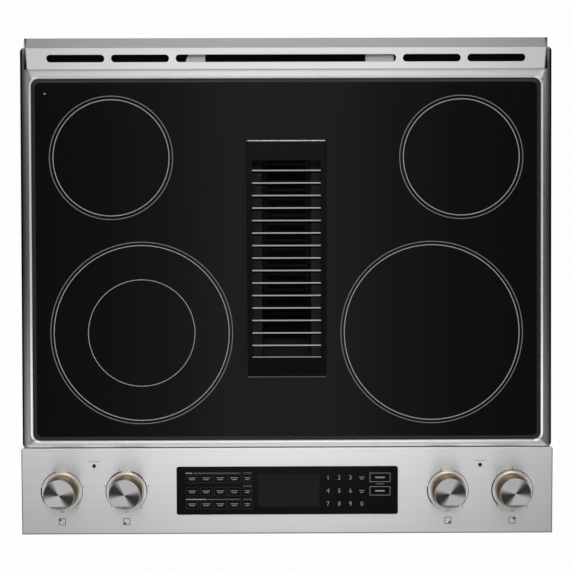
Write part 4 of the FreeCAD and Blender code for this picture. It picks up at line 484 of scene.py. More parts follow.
def rim_steel(name, dark, light, end_rough, side_rough, crown_lean, edge_lean):
    """Frame steel: brushed along each side, its side rims crowned and ground to a slope at the glass."""
    material, tree = new_material(name)
    glass_low, glass_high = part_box("cooktop_glass")
    parts = split(tree, object_place(tree))
    past_side = calculate(tree, "SUBTRACT", calculate(tree, "ABSOLUTE", parts["X"]), glass_high.x)
    past_front = calculate(tree, "SUBTRACT", glass_low.y, parts["Y"])
    past_rear = calculate(tree, "SUBTRACT", parts["Y"], glass_high.y)
    past_end = calculate(tree, "MAXIMUM", past_front, calculate(tree, "MULTIPLY", past_rear, REAR_MITRE))
    corner = calculate(tree, "SUBTRACT", past_side, past_end)
    at_side = remap(tree, corner, -MITRE_BLEND, MITRE_BLEND, interpolation_type="SMOOTHSTEP")
    at_end = calculate(tree, "SUBTRACT", 1.0, at_side)
    greys = (steel_grey(dark), steel_grey(light))
    end_steel = grain_surface(tree, *greys, LENGTHWAYS, 0.25, end_rough, 0.08)
    side_steel = grain_surface(tree, *greys, CROSSWAYS, 0.25, side_rough, 0.08)

    facing = surface_normal(tree)
    turned = split(tree, facing)
    side_sign = calculate(tree, "SIGN", parts["X"])
    outward = calculate(tree, "MULTIPLY", turned["X"], side_sign)
    crown = remap(tree, past_side, 0.003, 0.016, 0.0, crown_lean)
    ground = remap(tree, outward, -0.04, -0.16, 0.0, -edge_lean)
    lean = calculate(tree, "MULTIPLY", calculate(tree, "ADD", crown, ground), side_sign)
    rolled = combine(tree, X=lean, Z=1.0)
    share = calculate(tree, "MULTIPLY", at_side, turned["Z"])
    values = {0: share, 4: facing, 5: rolled}
    leaning = add_node(tree, "ShaderNodeMix", values, data_type="VECTOR").outputs[1]
    rounded = vector_step(tree, "NORMALIZE", leaning)
    brush = combine(tree, X=at_end, Y=at_side)
    feed_shader(material, {
        "Base Color": mix_colours(tree, at_side, end_steel["Color"], side_steel["Color"]),
        "Roughness": mix_values(tree, at_side, end_steel["Roughness"], side_steel["Roughness"]),
        "Normal": rounded,
        "Tangent": vector_step(tree, "CROSS_PRODUCT", rounded, brush),
        "Metallic": 1.0,
        "Anisotropic": BRUSHED_PULL,
    })
    return material


def fed_by(material, name):
    """Output that feeds an input of a material's shader."""
    return shader_of(material).inputs[name].links[0].from_socket


def tint_by(material, share, tint):
    """Mixes a tint into a finish by a share."""
    mixed = mix_colours(material.node_tree, share, fed_by(material, "Base Color"), tint)
    feed_shader(material, {"Base Color": mixed})


def add_ramp(tree, value, stops):
    """Grey that follows a value through a row of stops from 0 to 1."""
    ramp = add_node(tree, "ShaderNodeValToRGB", {"Fac": value})
    ramp.color_ramp.interpolation = "EASE"
    elements = ramp.color_ramp.elements
    elements[0].color = as_colour(stops[0][1])
    elements[1].color = as_colour(stops[-1][1])
    for position, shade in stops[1:-1]:
        elements.new(position).color = as_colour(shade)
    return ramp.outputs["Color"]


def tint_leaning(material, towards, stops, tint, rough=None):
    """Tints a finish by how far the surface leans towards one side, and roughens it there if asked."""
    tree = material.node_tree
    lean = add_ramp(tree, vector_step(tree, "DOT_PRODUCT", surface_normal(tree), towards), stops)
    tint_by(material, lean, tint)
    if rough is not None:
        feed_shader(material, {"Roughness": mix_values(tree, lean, fed_by(material, "Roughness"), rough)})


def paint_shade_on_ends(material, steel_end, black_start, shade=0.003):
    """Paints shade on the outer ends of a steel piece, darkening them between two distances from the
    middle.
    """
    tree = material.node_tree
    reach = calculate(tree, "ABSOLUTE", split(tree, object_place(tree))["X"])
    tint_by(material, remap(tree, reach, steel_end, black_start), shade)


frame_steel = rim_steel("frame_steel", dark=0.62, light=0.76, end_rough=0.4, side_rough=0.28,
                        crown_lean=0.3, edge_lean=1.05)
# Painted highlight: the rim's inner edges, which lean towards the glass, are tinted almost white.
for side in (-1.0, 1.0):
    tint_leaning(frame_steel, (side, 0.0, 0.0), INNER_EDGE_HIGHLIGHT, steel_grey(0.95))
# Painted shade: the frame's outer walls are darkened to black.
paint_shade_on_ends(frame_steel, 0.369, 0.3765)
dress(frame_steel, "cooktop_frame")

# Cooktop glass
# Black glass-ceramic plate with a ground bevel, and the cooking zones printed on it as pale rings.
# The print is ceramic ink, fired into the surface.
GLASS_BEVEL = ((0.0, 1.0), (0.985, 1.0), (0.998, 0.0), (1.0, 0.0))
INK_LIFT = 0.00006
RING_STEP = 2.5
ZONES = ((0.25, 0.1995, 0.0828, 0.0879), (0.2075, -0.0508, 0.1252, 0.13))
DUAL_ZONE = (-0.2075, -0.0508)
DUAL_RADIUS = 0.0762
ZONE_LINE = 0.0012
ZONE_SOFT_LINE = 0.0013
DUAL_LINE = 0.001
GLASS_MARK = (-0.3455, -0.3425, 0.2902, 0.2918)


def black_glass(name, dark, light, grain, rough):
    """Near-black glass with faint streaks in its colour under a clean shine."""
    material, tree = new_material(name)
    surface = grain_surface(tree, dark, light, grain, 0.4, rough, 0.05)
    feed_shader(material, {"Base Color": surface["Color"], "Roughness": surface["Roughness"], "IOR": 1.52})
    return material


def add_ring(mesh, centre, radius, width, start=0.0, sweep=360.0):
    """Flat ring or arc in plan, its angles in degrees anticlockwise from the right."""
    steps = max(6, round(abs(sweep) / RING_STEP))
    rows = []
    for index in range(steps + 1):
        angle = math.radians(start + sweep * index / steps)
        ray = Vector((math.cos(angle), math.sin(angle), 0.0))
        middle = Vector((centre[0], centre[1], 0.0))
        rows.append([mesh.verts.new(middle + ray * (radius + side * width / 2)) for side in (-1, 1)])
    for (inner, outer), (next_inner, next_outer) in zip(rows, rows[1:]):
        mesh.faces.new([inner, outer, next_outer, next_inner])


def add_bar(mesh, x0, x1, y0, y1):
    """Flat rectangle in plan, facing up."""
    corners = [(x0, y0), (x1, y0), (x1, y1), (x0, y1)]
    mesh.faces.new([mesh.verts.new((x, y, 0.0)) for x, y in corners])


def mesh_from(name, mesh):
    """Plain mesh from a bmesh, which is used up."""
    data = bpy.data.meshes.new(name)
    mesh.to_mesh(data)
    mesh.free()
    return data


def printed_piece(name, mesh, surface, material):
    """Lays a flat drawing on a surface, given as a function of x and y."""
    for vertex in mesh.verts:
        vertex.co = surface(vertex.co.x, vertex.co.y)
    bmesh.ops.remove_doubles(mesh, verts=mesh.verts, dist=1e-7)
    mesh.normal_update()
    for face in mesh.faces:
        if face.normal.z < 0:
            face.normal_flip()
    return make_piece(name, mesh_from(name, mesh), "chassis", material)


def print_level(top):
    """Surface for print on a flat top at a height."""
    return lambda x, y: Vector((x, y, top + INK_LIFT))


def print_ink(name, dark, light, grain=500.0, rough=0.5):
    return grained(name, dark, light, grain, rough, 0.2)


cooktop_black = black_glass("cooktop_black", 0.0018, 0.0042, (70.0, 1.5, 70.0), 0.06)
zone_ink = print_ink("zone_ink", 0.3, 0.5, grain=400.0, rough=0.4)
zone_ink_soft = print_ink("zone_ink_soft", 0.14, 0.24, grain=400.0, rough=0.4)
tint_leaning(cooktop_black, (0.0, 0.0, 1.0), GLASS_BEVEL, 0.007, rough=0.5)
dress(cooktop_black, "cooktop_glass")
zone_lines = bmesh.new()
zone_soft_lines = bmesh.new()
for side in (-1, 1):
    for x, y, inner_radius, outer_radius in ZONES:
        add_ring(zone_lines, (side * x, y), inner_radius, ZONE_LINE)
        add_ring(zone_soft_lines, (side * x, y), outer_radius, ZONE_SOFT_LINE)
add_ring(zone_lines, DUAL_ZONE, DUAL_RADIUS, DUAL_LINE)
add_bar(zone_lines, *GLASS_MARK)
glass_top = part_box("cooktop_glass")[1].z
on_glass = print_level(glass_top)
printed_piece("zone_lines", zone_lines, on_glass, zone_ink)
printed_piece("zone_soft_lines", zone_soft_lines, on_glass, zone_ink_soft)

# Downdraft grille and filter
# Cast grille with fifteen steep louvres, dropped into the well in the glass.
# Black heat-proof coating with painted highlights on the noses and end edges; greased mesh filter in the
# black well.
WELL_FRONT_SHADE = ((0.0, 0.0), (0.2, 0.0), (0.5, 1.0), (1.0, 1.0))
LOUVRE_COUNT = 15
LOUVRE_PITCH = 0.01783
LOUVRE_FIRST = (0.0, 0.1807, 0.9166)
LOUVRE_HALF_LENGTH = 0.049
NOSE_RADIUS = 0.00116
LIP_PLACE = (0.0, -0.0856, 0.9178)
LIP_RADIUS = 0.0008
EDGE_HIGHLIGHT_START = 0.0021
EDGE_HIGHLIGHT_FULL = 0.0019


def bar_rows():
    """Round bars in an even row, each lying along X."""
    inputs = {"Count": "Int", "First": "Vector", "Step": "Vector", "Half Length": "Float",
              "Radius": "Float", "Finish": "Material"}
    tree, given, end = node_group("bar_rows", "GeometryNodeTree", inputs, {"Geometry": "Geometry"})
    values = {"Count": given["Count"], "Start Location": given["First"], "Offset": given["Step"]}
    row = add_node(tree, "GeometryNodeMeshLine", values, mode="OFFSET")
    half = given["Half Length"]
    left = combine(tree, X=calculate(tree, "MULTIPLY", half, -1.0))
    values = {"Start": left, "End": combine(tree, X=half)}
    axis = add_node(tree, "GeometryNodeCurvePrimitiveLine", values)
    values = {"Resolution": 14, "Radius": given["Radius"]}
    section = add_node(tree, "GeometryNodeCurvePrimitiveCircle", values)
    values = {"Curve": axis.outputs["Curve"], "Profile Curve": section.outputs["Curve"], "Fill Caps": True}
    bar = add_node(tree, "GeometryNodeCurveToMesh", values)
    values = {"Points": row.outputs["Mesh"], "Instance": bar.outputs["Mesh"]}
    spread = add_node(tree, "GeometryNodeInstanceOnPoints", values)
    return made_real(tree, spread.outputs["Instances"], given["Finish"], end)


def coat_with_edge_highlight(name, dark, light, highlight_tint):
    """Black coating with fine grit, with a painted highlight in patches on the rounded end edges of the
    grille.
    """
    material = grained(name, dark, light, 700.0, 0.24, 0.1, bump=0.12)
    tree = material.node_tree
    low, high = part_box("vent_grille")
    place = object_place(tree)
    depth = split(tree, place)["Y"]
    rear = remap(tree, depth, high.y - EDGE_HIGHLIGHT_START, high.y - EDGE_HIGHLIGHT_FULL)
    front = remap(tree, depth, low.y + EDGE_HIGHLIGHT_START, low.y + EDGE_HIGHLIGHT_FULL, 0.0, 0.25)
    upward = remap(tree, split(tree, surface_normal(tree))["Z"], 0.25, 0.5)
    edge = calculate(tree, "MULTIPLY", calculate(tree, "ADD", rear, front), upward)
    patchy = remap(tree, noise(tree, place, 160.0, 3.0), 0.2, 0.6, 0.6, 1.0)
    edge_highlight = calculate(tree, "MULTIPLY", edge, patchy)
    tint_by(material, edge_highlight, highlight_tint)
    feed_shader(material, {"Metallic": edge_highlight, "Specular IOR Level": 0.2})
    return material


# Painted highlight: the louvre noses and the front lip are pale grey bars where the rounded black edges
# catch the light.
nose_painted_highlight = grained("nose_painted_highlight", 0.27, 0.42, (40.0, 500.0, 500.0), 0.32, 0.15, metallic=0.9)
well_paint = grained("well_paint", 0.042, 0.06, 300.0, 0.5, 0.2)
feed_shader(well_paint, {"Specular IOR Level": 0.15})
# Painted shade: the well's walls that face the rear are darkened to black.
tint_leaning(well_paint, (0.0, 1.0, 0.0), WELL_FRONT_SHADE, 0.003)
# Painted highlight: the grille's rear and front end edges are tinted bright, in patches.
dress(coat_with_edge_highlight("grille_coat", 0.0012, 0.0028, 0.36), "vent_grille")
dress(well_paint, "vent_plenum")
dress(grained("filter_grease", 0.012, 0.03, 300.0, 0.5, 0.2, metallic=0.5, bump=0.5, depth=0.0008),
      "grease_filter")
louvre_sizes = {
    "Count": LOUVRE_COUNT,
    "First": LOUVRE_FIRST,
    "Step": (0.0, -LOUVRE_PITCH, 0.0),
    "Half Length": LOUVRE_HALF_LENGTH,
    "Radius": NOSE_RADIUS,
    "Finish": nose_painted_highlight,
}
lip_sizes = {**louvre_sizes, "Count": 1, "First": LIP_PLACE, "Radius": LIP_RADIUS}
BAR_ROWS = bar_rows()
for name, sizes in (("louvre_noses", louvre_sizes), ("front_lip", lip_sizes)):
    grow_piece(name, BAR_ROWS, bpy.data.meshes.new(name + "_row"), sizes, "grille")

# Control console
# Folded stainless panel, tilted a little forward, with the burner dials and their numbers screened on.
# A red lens shows through it behind the middle of each pair of dials.
CONSOLE_TILT = math.radians(1.5)
CONSOLE_REAR_Y = -0.2171
CONSOLE_REAR_Z = 0.9165
CONSOLE_FRONT_Y = -0.3425
CONSOLE_PAINTED_SHADE = 0.55
COARSE_BRUSHING = (4.0, 420.0, 420.0)
FRONT_EDGE_SHADE = ((0.0, 0.0), (0.1, 0.0), (0.35, 1.0), (0.85, 1.0), (0.97, 0.45), (1.0, 0.45))
SEAM_DEPTH = 0.0008
SEAM_HALF = 0.378
DIALS = {
    "rear_left": (-0.323, -0.278),
    "front_left": (-0.2305, -0.278),
    "front_right": (0.2305, -0.278),
    "rear_right": (0.323, -0.278),
}
DIAL_RADIUS = 0.0294
SINGLE_ARCS = ((104.0, 60.0, 0.0012), (168.0, 50.0, 0.0018), (218.0, 8.0, 0.0008), (76.0, -122.0, 0.0008))
OVER_ARCS = ((52.0, 98.0, 0.0012), (150.0, 76.0, 0.0018), (52.0, -100.0, 0.0008))
DOUBLE_ARCS = ((104.0, 34.0, 0.0019), (138.0, 60.0, 0.0013), (198.0, 27.0, 0.0006),
               (76.0, -36.0, 0.0019), (40.0, -45.0, 0.0013), (-5.0, -42.0, 0.0006))
DIAL_ARCS = {"rear_left": SINGLE_ARCS, "front_left": DOUBLE_ARCS, "front_right": SINGLE_ARCS,
             "rear_right": OVER_ARCS}
NUMBER_REACH = 0.0323
NUMBER_HEIGHT = 0.0029
TOP_NUMBERS = (("9", 108.7), ("1", 77.6))
SIDE_NUMBER = ("5", 13.0)
FOOT_NUMBERS = (("9", -49.0), ("1", 226.0))
DIAL_NUMBERS = {
    "rear_left": (*TOP_NUMBERS, SIDE_NUMBER, *FOOT_NUMBERS),
    "front_left": (("5", 166.0), *TOP_NUMBERS, SIDE_NUMBER, *FOOT_NUMBERS),
    "front_right": (*TOP_NUMBERS, *FOOT_NUMBERS),
    "rear_right": (("9", 90.0), *FOOT_NUMBERS),
}
OFF_HEIGHT = 0.0026
OFF_DROP = 0.0004
ZONE_CORNER = {"rear_left": (-1, 1), "front_left": (-1, -1), "front_right": (1, -1), "rear_right": (1, 1)}
ICON_HALF = 0.0049
ICON_DROP = 0.0436
ICON_LINE = 0.0008
DOT_RADIUS = 0.0016
LENS_X = 0.2765
LABEL_DASHES = 8
LABEL_HALF = 0.0092
DASH_STEP = 0.0023
DASH_LENGTH = 0.0016
LABEL_SPAN = (-0.2353, -0.2344)


def paint_shade_forward(material, rear, front, tint, most):
    """Paints shade on a steel piece, darkening it evenly from its rear edge to its front one."""
    tree = material.node_tree
    depth = split(tree, object_place(tree))["Y"]
    tint_by(material, remap(tree, depth, rear, front, 0.0, most), tint)


def above_console(x, y, lift):
    """Point at a distance above the console's sloping face."""
    z = CONSOLE_REAR_Z - (CONSOLE_REAR_Y - y) * math.tan(CONSOLE_TILT)
    return Vector((x, y - lift * math.sin(CONSOLE_TILT), z + lift * math.cos(CONSOLE_TILT)))


def print_slope(lift):
    """Surface for print at a height above the console's face."""
    return lambda x, y: above_console(x, y, lift)


def add_text(mesh, text, x, y, height):
    """Numeral or switch word in plain lettering, centred on a point."""
    cap_share = 0.7
    curve = bpy.data.curves.new("letters", "FONT")
    curve.body = text
    curve.size = height / cap_share
    curve.align_x = "CENTER"
    curve.align_y = "CENTER"
    curve.resolution_u = 3
    letters = plain_mesh(new_object("letters", curve))
    letters.transform(Matrix.Translation((x, y, 0.0)))
    mesh.from_mesh(letters)


def add_outline(mesh, x0, x1, y0, y1, line):
    """Outline of a rectangle, drawn inside its edges."""
    add_bar(mesh, x0, x1, y0, y0 + line)
    add_bar(mesh, x0, x1, y1 - line, y1)
    add_bar(mesh, x0, x0 + line, y0 + line, y1 - line)
    add_bar(mesh, x1 - line, x1, y0 + line, y1 - line)


console_steel = brushed_steel("console_steel", dark=0.86, light=1.0, grain=COARSE_BRUSHING)
# Painted shade: the console darkens towards its front.
paint_shade_forward(console_steel, CONSOLE_REAR_Y, CONSOLE_FRONT_Y, steel_grey(0.5), CONSOLE_PAINTED_SHADE)
# Painted shade: a dark line along the console's front edge.
tint_leaning(console_steel, (0.0, -1.0, 0.0), FRONT_EDGE_SHADE, steel_grey(0.2))
# Painted shade: dark grey ends on the console.
paint_shade_on_ends(console_steel, 0.3791, 0.3798, shade=0.06)
console_ink = print_ink("console_ink", 0.012, 0.03)
label_ink = print_ink("label_ink", 0.2, 0.3)
dress(console_steel, "control_console")
dress(grained("board_green", (0.01, 0.05, 0.02), (0.02, 0.09, 0.04), 90.0, 0.4, 0.2), "control_board")
dress(grained("switch_plastic", (0.45, 0.42, 0.36), (0.58, 0.55, 0.48), 250.0, 0.5, 0.2),
      "heat_switches")
dress(grained("rotor_steel", 0.4, 0.55, (300.0, 300.0, 60.0), 0.34, 0.2, metallic=1.0),
      *["switch_rotor_" + name for name in DIALS])
dress(grained("lens_red", (0.03, 0.004, 0.004), (0.06, 0.008, 0.007), 600.0, 0.12, 0.08),
      "indicator_lenses")
seam_lip = bmesh.new()
add_bar(seam_lip, -SEAM_HALF, SEAM_HALF, CONSOLE_REAR_Y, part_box("cooktop_frame")[0].y)
printed_piece("seam_lip", seam_lip, print_slope(-SEAM_DEPTH), console_steel)
dial_print = bmesh.new()
for name, (x, y) in DIALS.items():
    for start, sweep, width in DIAL_ARCS[name]:
        add_ring(dial_print, (x, y), DIAL_RADIUS, width, start, sweep)
    for text, angle in DIAL_NUMBERS[name]:
        across = NUMBER_REACH * math.cos(math.radians(angle))
        up = NUMBER_REACH * math.sin(math.radians(angle))
        add_text(dial_print, text, x + across, y + up, NUMBER_HEIGHT)
    add_text(dial_print, "OFF", x, y - DIAL_RADIUS - OFF_DROP, OFF_HEIGHT)
    icon_y = y - ICON_DROP
    add_outline(dial_print, x - ICON_HALF, x + ICON_HALF, icon_y - ICON_HALF, icon_y + ICON_HALF, ICON_LINE)
    dot_side, dot_end = ZONE_CORNER[name]
    dot = (x + dot_side * ICON_HALF / 2, icon_y + dot_end * ICON_HALF / 2)
    add_ring(dial_print, dot, DOT_RADIUS / 2, DOT_RADIUS)
printed_piece("dial_print", dial_print, print_slope(INK_LIFT), console_ink)
lens_labels = bmesh.new()
for side in (-1, 1):
    for index in range(LABEL_DASHES):
        left = side * LENS_X - LABEL_HALF + index * DASH_STEP
        add_bar(lens_labels, left, left + DASH_LENGTH, *LABEL_SPAN)
printed_piece("lens_labels", lens_labels, print_slope(INK_LIFT), label_ink)

# Touch panel
# Black glass plate let into the console, with its keys and display printed on it.
# The keypad has plain numerals; the other keys carry short bars in place of words.
KEY_ROWS = (-0.26, -0.2788, -0.2976)
KEY_COLUMNS = ((-0.1365, 0.0088), (-0.1162, 0.0088), (-0.096, 0.0088), (-0.076, 0.0088), (-0.0572, 0.0066))
KEY_HALF_HEIGHT = 0.0062
KEY_LINE = 0.0004
KEY_BARS = ((0.62, 0.0013), (0.44, -0.0013))
KEY_BAR_HALF = 0.00045
RULES = ((-0.1346, -0.067, -0.2519), (-0.1149, -0.067, -0.2897), (-0.0632, -0.0509, -0.2518),
         (-0.0632, -0.0509, -0.2705), (-0.0632, -0.0509, -0.2897))
RULE_HALF = 0.00025
HEADINGS = ((-0.1455, -0.1362, -0.2519), (-0.1455, -0.1164, -0.2897))
HEADING_HALF = 0.0007
NUMERAL_HEIGHT = 0.0063
NUMERAL_X = 0.0585
NUMERAL_Y = -0.2591
NUMERAL_ACROSS = 0.0161
NUMERAL_DOWN = 0.01895
ZERO_PLACE = (0.1069, -0.297)
SMALL_KEYS = (-0.2595, -0.2791)
SMALL_KEY_BARS = ((0.1032, 0.1106, 0.0009, 0.0018), (0.1045, 0.1093, -0.0018, -0.0009))
LARGE_KEYS = ((-0.2654, -0.2523), (-0.2847, -0.2719))
LARGE_KEY_SPAN = (0.1182, 0.1478)
LARGE_KEY_LINE = 0.0006
LARGE_KEY_BAR = (0.1262, 0.1398)
LARGE_KEY_BAR_HALF = 0.001
LARGE_KEY_NOTE = (0.1268, 0.1392, -0.2685, -0.268)
DISPLAY = (-0.0417, 0.046, -0.3006, -0.2532)
panel_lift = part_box("touch_panel")[1].z - above_console(0.0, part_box("touch_panel")[1].y, 0.0).z
on_panel = print_slope(panel_lift + INK_LIFT)
panel_black = black_glass("panel_black", 0.0015, 0.003, 60.0, 0.09)
key_ink = print_ink("key_ink", 0.26, 0.4, rough=0.45)
key_ink_faint = print_ink("key_ink_faint", 0.022, 0.04, rough=0.45)
display_film = grained("display_film", 0.005, 0.008, 80.0, 0.2, 0.1)
dress(panel_black, "touch_panel")
key_print = bmesh.new()
key_boxes = bmesh.new()
for x, half in KEY_COLUMNS:
    for y in KEY_ROWS:
        add_outline(key_boxes, x - half, x + half, y - KEY_HALF_HEIGHT, y + KEY_HALF_HEIGHT, KEY_LINE)
        for share, rise in KEY_BARS:
            reach = half * share
            add_bar(key_print, x - reach, x + reach, y + rise - KEY_BAR_HALF, y + rise + KEY_BAR_HALF)
for bars, half in ((RULES, RULE_HALF), (HEADINGS, HEADING_HALF)):
    for x0, x1, y in bars:
        add_bar(key_print, x0, x1, y - half, y + half)
for index in range(9):
    x = NUMERAL_X + NUMERAL_ACROSS * (index % 3)
    y = NUMERAL_Y - NUMERAL_DOWN * (index // 3)
    add_text(key_print, str(index + 1), x, y, NUMERAL_HEIGHT)
add_text(key_print, "0", *ZERO_PLACE, NUMERAL_HEIGHT)
for y in SMALL_KEYS:
    for x0, x1, low, high in SMALL_KEY_BARS:
        add_bar(key_print, x0, x1, y + low, y + high)
for y0, y1 in LARGE_KEYS:
    middle = (y0 + y1) / 2
    add_outline(key_print, *LARGE_KEY_SPAN, y0, y1, LARGE_KEY_LINE)
    add_bar(key_print, *LARGE_KEY_BAR, middle - LARGE_KEY_BAR_HALF, middle + LARGE_KEY_BAR_HALF)
add_bar(key_print, *LARGE_KEY_NOTE)
display_window = bmesh.new()
add_bar(display_window, *DISPLAY)
printed_piece("key_print", key_print, on_panel, key_ink)
printed_piece("key_boxes", key_boxes, on_panel, key_ink_faint)
printed_piece("display_window", display_window, on_panel, display_film)

# Burner knobs
# Solid metal knobs, spun-brushed on top, with a slanted facet that carries the pointer.
# Each one's shaft slides in its switch rotor, and its foot stands in a polished bezel ring.
KNOB_TOP = 0.028
KNOB_HEIGHT = 0.024
KNOB_FOOT_Z = 0.919
KNOB_WAIST_Z = KNOB_FOOT_Z + 0.009
KNOB_SHOULDER_Z = KNOB_FOOT_Z + 0.019
KNOB_FOOT_RADIUS = 0.023
KNOB_TOP_RADIUS = 0.0222
FACE_RADIUS = 0.02155
FACE_STEPS = 96
FACE_FRONT = -0.01595
FACET_START = Vector((0.0, -0.01598, KNOB_TOP))
FACET_RUN = 8.0
FACET_DROP = 13.0
FACET_SLOPE = Vector((0.0, -FACET_RUN, -FACET_DROP)).normalized()
FACET_OUT = Vector((0.0, -FACET_DROP, FACET_RUN)).normalized()
FACET_LENGTH = 0.0122
FACET_STEPS = 14
FACET_MARGIN = 0.00035
FACET_EDGE_LINE = 0.0012
POINTER_HALF_WIDTH = 0.0006
POINTER_SPAN = (0.0004, 0.0105)


def spun_steel(name, shade_turn):
    """Lathe-brushed face: rings of fine scratches, under a painted reflection that fans out bright and
    falls to painted shade along one line across it.
    """
    material, tree = new_material(name)
    spot = vector_step(tree, "SUBTRACT", add_node(tree, "ShaderNodeUVMap").outputs["UV"], (0.5, 0.5, 0.0))
    parts = split(tree, spot)
    values = {"W": vector_step(tree, "LENGTH", spot), "Scale": 120.0, "Detail": 3.0}
    rings = add_node(tree, "ShaderNodeTexNoise", values, noise_dimensions="1D").outputs["Fac"]
    angle = calculate(tree, "ARCTAN2", parts["Y"], parts["X"])
    fan = calculate(tree, "MULTIPLY_ADD", angle, 2.0, -2.0 * math.radians(shade_turn))
    shine = remap(tree, calculate(tree, "COSINE", fan), 0.95, -0.2, interpolation_type="SMOOTHSTEP")
    feed_shader(material, {
        "Base Color": mix_colours(tree, mix_values(tree, 0.1, shine, rings), 0.025, 0.82),
        "Metallic": 1.0,
        "Roughness": 0.48,
        "Normal": raised(tree, rings, 0.06, 0.0001),
    })
    return material


def turned_wall(name, foot, waist, shoulder):
    """Polished wall of a knob, with a painted reflection of the warm bezel at its foot and painted shade
    darkening it towards the top.
    """
    material = grained(name, 0.7, 1.0, (80.0, 80.0, 900.0), 0.28, 0.14, metallic=1.0)
    tree = material.node_tree
    height = split(tree, object_place(tree))["Z"]
    lower = mix_colours(tree, remap(tree, height, KNOB_FOOT_Z, KNOB_WAIST_Z), foot, waist)
    wall = mix_colours(tree, remap(tree, height, KNOB_WAIST_Z, KNOB_SHOULDER_Z), lower, shoulder)
    brushed = mix_colours(tree, 1.0, wall, fed_by(material, "Base Color"), blend_type="MULTIPLY")
    feed_shader(material, {"Base Color": brushed, "Specular Tint": (0.42, 0.32, 0.2)})
    return material


def knob_piece(part, name, mesh, material):
    """Sets a piece that is drawn in a knob's own axes on that knob."""
    turn = Matrix.Rotation(CONSOLE_TILT, 4, "X")
    mesh.transform(Matrix.Translation(above_console(*DIALS[name], 0.0)) @ turn)
    label = "knob_" + part + "_" + name
    return make_piece(label, mesh_from(label, mesh), "knob_" + name, material)


def knob_face():
    """Brushed disc on the knob's top, cut straight where the facet starts."""
    mesh = bmesh.new()
    layer = mesh.loops.layers.uv.new("face")
    height = KNOB_TOP + INK_LIFT
    middle = mesh.verts.new((0.0, 0.0, height))
    rim = []
    for index in range(FACE_STEPS):
        angle = 2 * math.pi * index / FACE_STEPS
        depth = max(FACE_FRONT, FACE_RADIUS * math.sin(angle))
        rim.append(mesh.verts.new((FACE_RADIUS * math.cos(angle), depth, height)))
    for first, second in zip(rim, rim[1:] + rim[:1]):
        face = mesh.faces.new([middle, first, second])
        for loop in face.loops:
            place = loop.vert.co / (2 * FACE_RADIUS)
            loop[layer].uv = (place.x + 0.5, place.y + 0.5)
    return mesh


def knob_facet():
    """Slanted flat at the front of the knob, satin, with painted shade darkening it against the spun top.
    """
    mesh = bmesh.new()
    rows = []
    for index in range(FACET_STEPS + 1):
        along = FACET_EDGE_LINE + (FACET_LENGTH - FACET_EDGE_LINE - FACET_MARGIN) * index / FACET_STEPS
        place = FACET_START + FACET_SLOPE * along
        wall = KNOB_TOP_RADIUS + (KNOB_FOOT_RADIUS - KNOB_TOP_RADIUS) * (KNOB_TOP - place.z) / KNOB_HEIGHT
        half = max(math.sqrt(max(wall ** 2 - place.y ** 2, 0.0)) - FACET_MARGIN, FACET_MARGIN)
        lifted = place + FACET_OUT * INK_LIFT
        rows.append([mesh.verts.new(lifted + Vector((side * half, 0.0, 0.0))) for side in (-1, 1)])
    for (left, right), (next_left, next_right) in zip(rows, rows[1:]):
        mesh.faces.new([left, next_left, next_right, right])
    return mesh


def knob_pointer():
    """Black line down the middle of the facet."""
    mesh = bmesh.new()
    top = FACET_START + FACET_OUT * INK_LIFT * 2
    corners = []
    for side, end in ((-1, 1), (1, 1), (1, 0), (-1, 0)):
        place = top + FACET_SLOPE * POINTER_SPAN[end]
        corners.append(place + Vector((side * POINTER_HALF_WIDTH, 0.0, 0.0)))
    mesh.faces.new([mesh.verts.new(corner) for corner in corners])
    return mesh


# Painted reflection: each knob face is bright in a fan and dark along one line, turned one way on the left
# knobs and the other way on the right.
spun_left = spun_steel("spun_face_left", -24.0)
spun_right = spun_steel("spun_face_right", 24.0)
# Painted shade: the facets are dark steel.
facet_satin_and_shade = grained("facet_satin_and_shade", 0.15, 0.26, (900.0, 60.0, 60.0), 0.4, 0.14, metallic=1.0)
# Painted reflection of the warm bezel at each knob wall's foot, and painted shade towards its top.
dress(turned_wall("knob_steel", (0.78, 0.7, 0.56), (0.5, 0.46, 0.4), (0.36, 0.35, 0.33)),
      *["knob_" + name for name in DIALS])
# Painted reflection: the bezels' warm tan tint.
dress(grained("bezel_polish", (0.74, 0.69, 0.56), (0.9, 0.86, 0.75), (25.0, 25.0, 300.0), 0.34, 0.1,
              metallic=1.0),
      "knob_bezels")
for name, (x, y) in DIALS.items():
    knob_piece("face", name, knob_face(), spun_right if x > 0 else spun_left)
    knob_piece("facet", name, knob_facet(), facet_satin_and_shade)
    knob_piece("pointer", name, knob_pointer(), console_ink)

# Rear vent trim
# Folded stainless cap over the gap behind the range, with long slots for the oven's vent.
# Two small tabs show through the middle slot, over a band of painted shade on the frame below.
REAR_SLOPE_SHADE = ((0.0, 0.0), (0.1, 0.0), (0.35, 1.0), (1.0, 1.0))
VENT_SHADE_BAND = (-0.345, 0.345, 0.3287, 0.3492)
trim_steel = brushed_steel("trim_steel", dark=0.82, light=0.96)
# Painted shade: the trim's rear slope is darkened.
tint_leaning(trim_steel, (0.0, 1.0, 0.0), REAR_SLOPE_SHADE, steel_grey(0.26))
# Painted shade: black ends on the trim.
paint_shade_on_ends(trim_steel, 0.3662, 0.3684)
# Painted shade: a black band laid on the frame under the slots.
vent_painted_shade = grained("vent_painted_shade", 0.002, 0.004, 300.0, 0.6, 0.2)
feed_shader(vent_painted_shade, {"Specular IOR Level": 0.1})
dress(trim_steel, "rear_vent_trim")
dress(grained("tab_steel", steel_grey(0.66), steel_grey(0.8), (60.0, 400.0, 400.0), 0.45, 0.1,
              metallic=0.6),
      "vent_trim_tabs")
frame_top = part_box("cooktop_frame")[1].z
vent_shade_band = bmesh.new()
add_bar(vent_shade_band, *VENT_SHADE_BAND)
printed_piece("vent_shade_band", vent_shade_band, print_level(frame_top), vent_painted_shade)

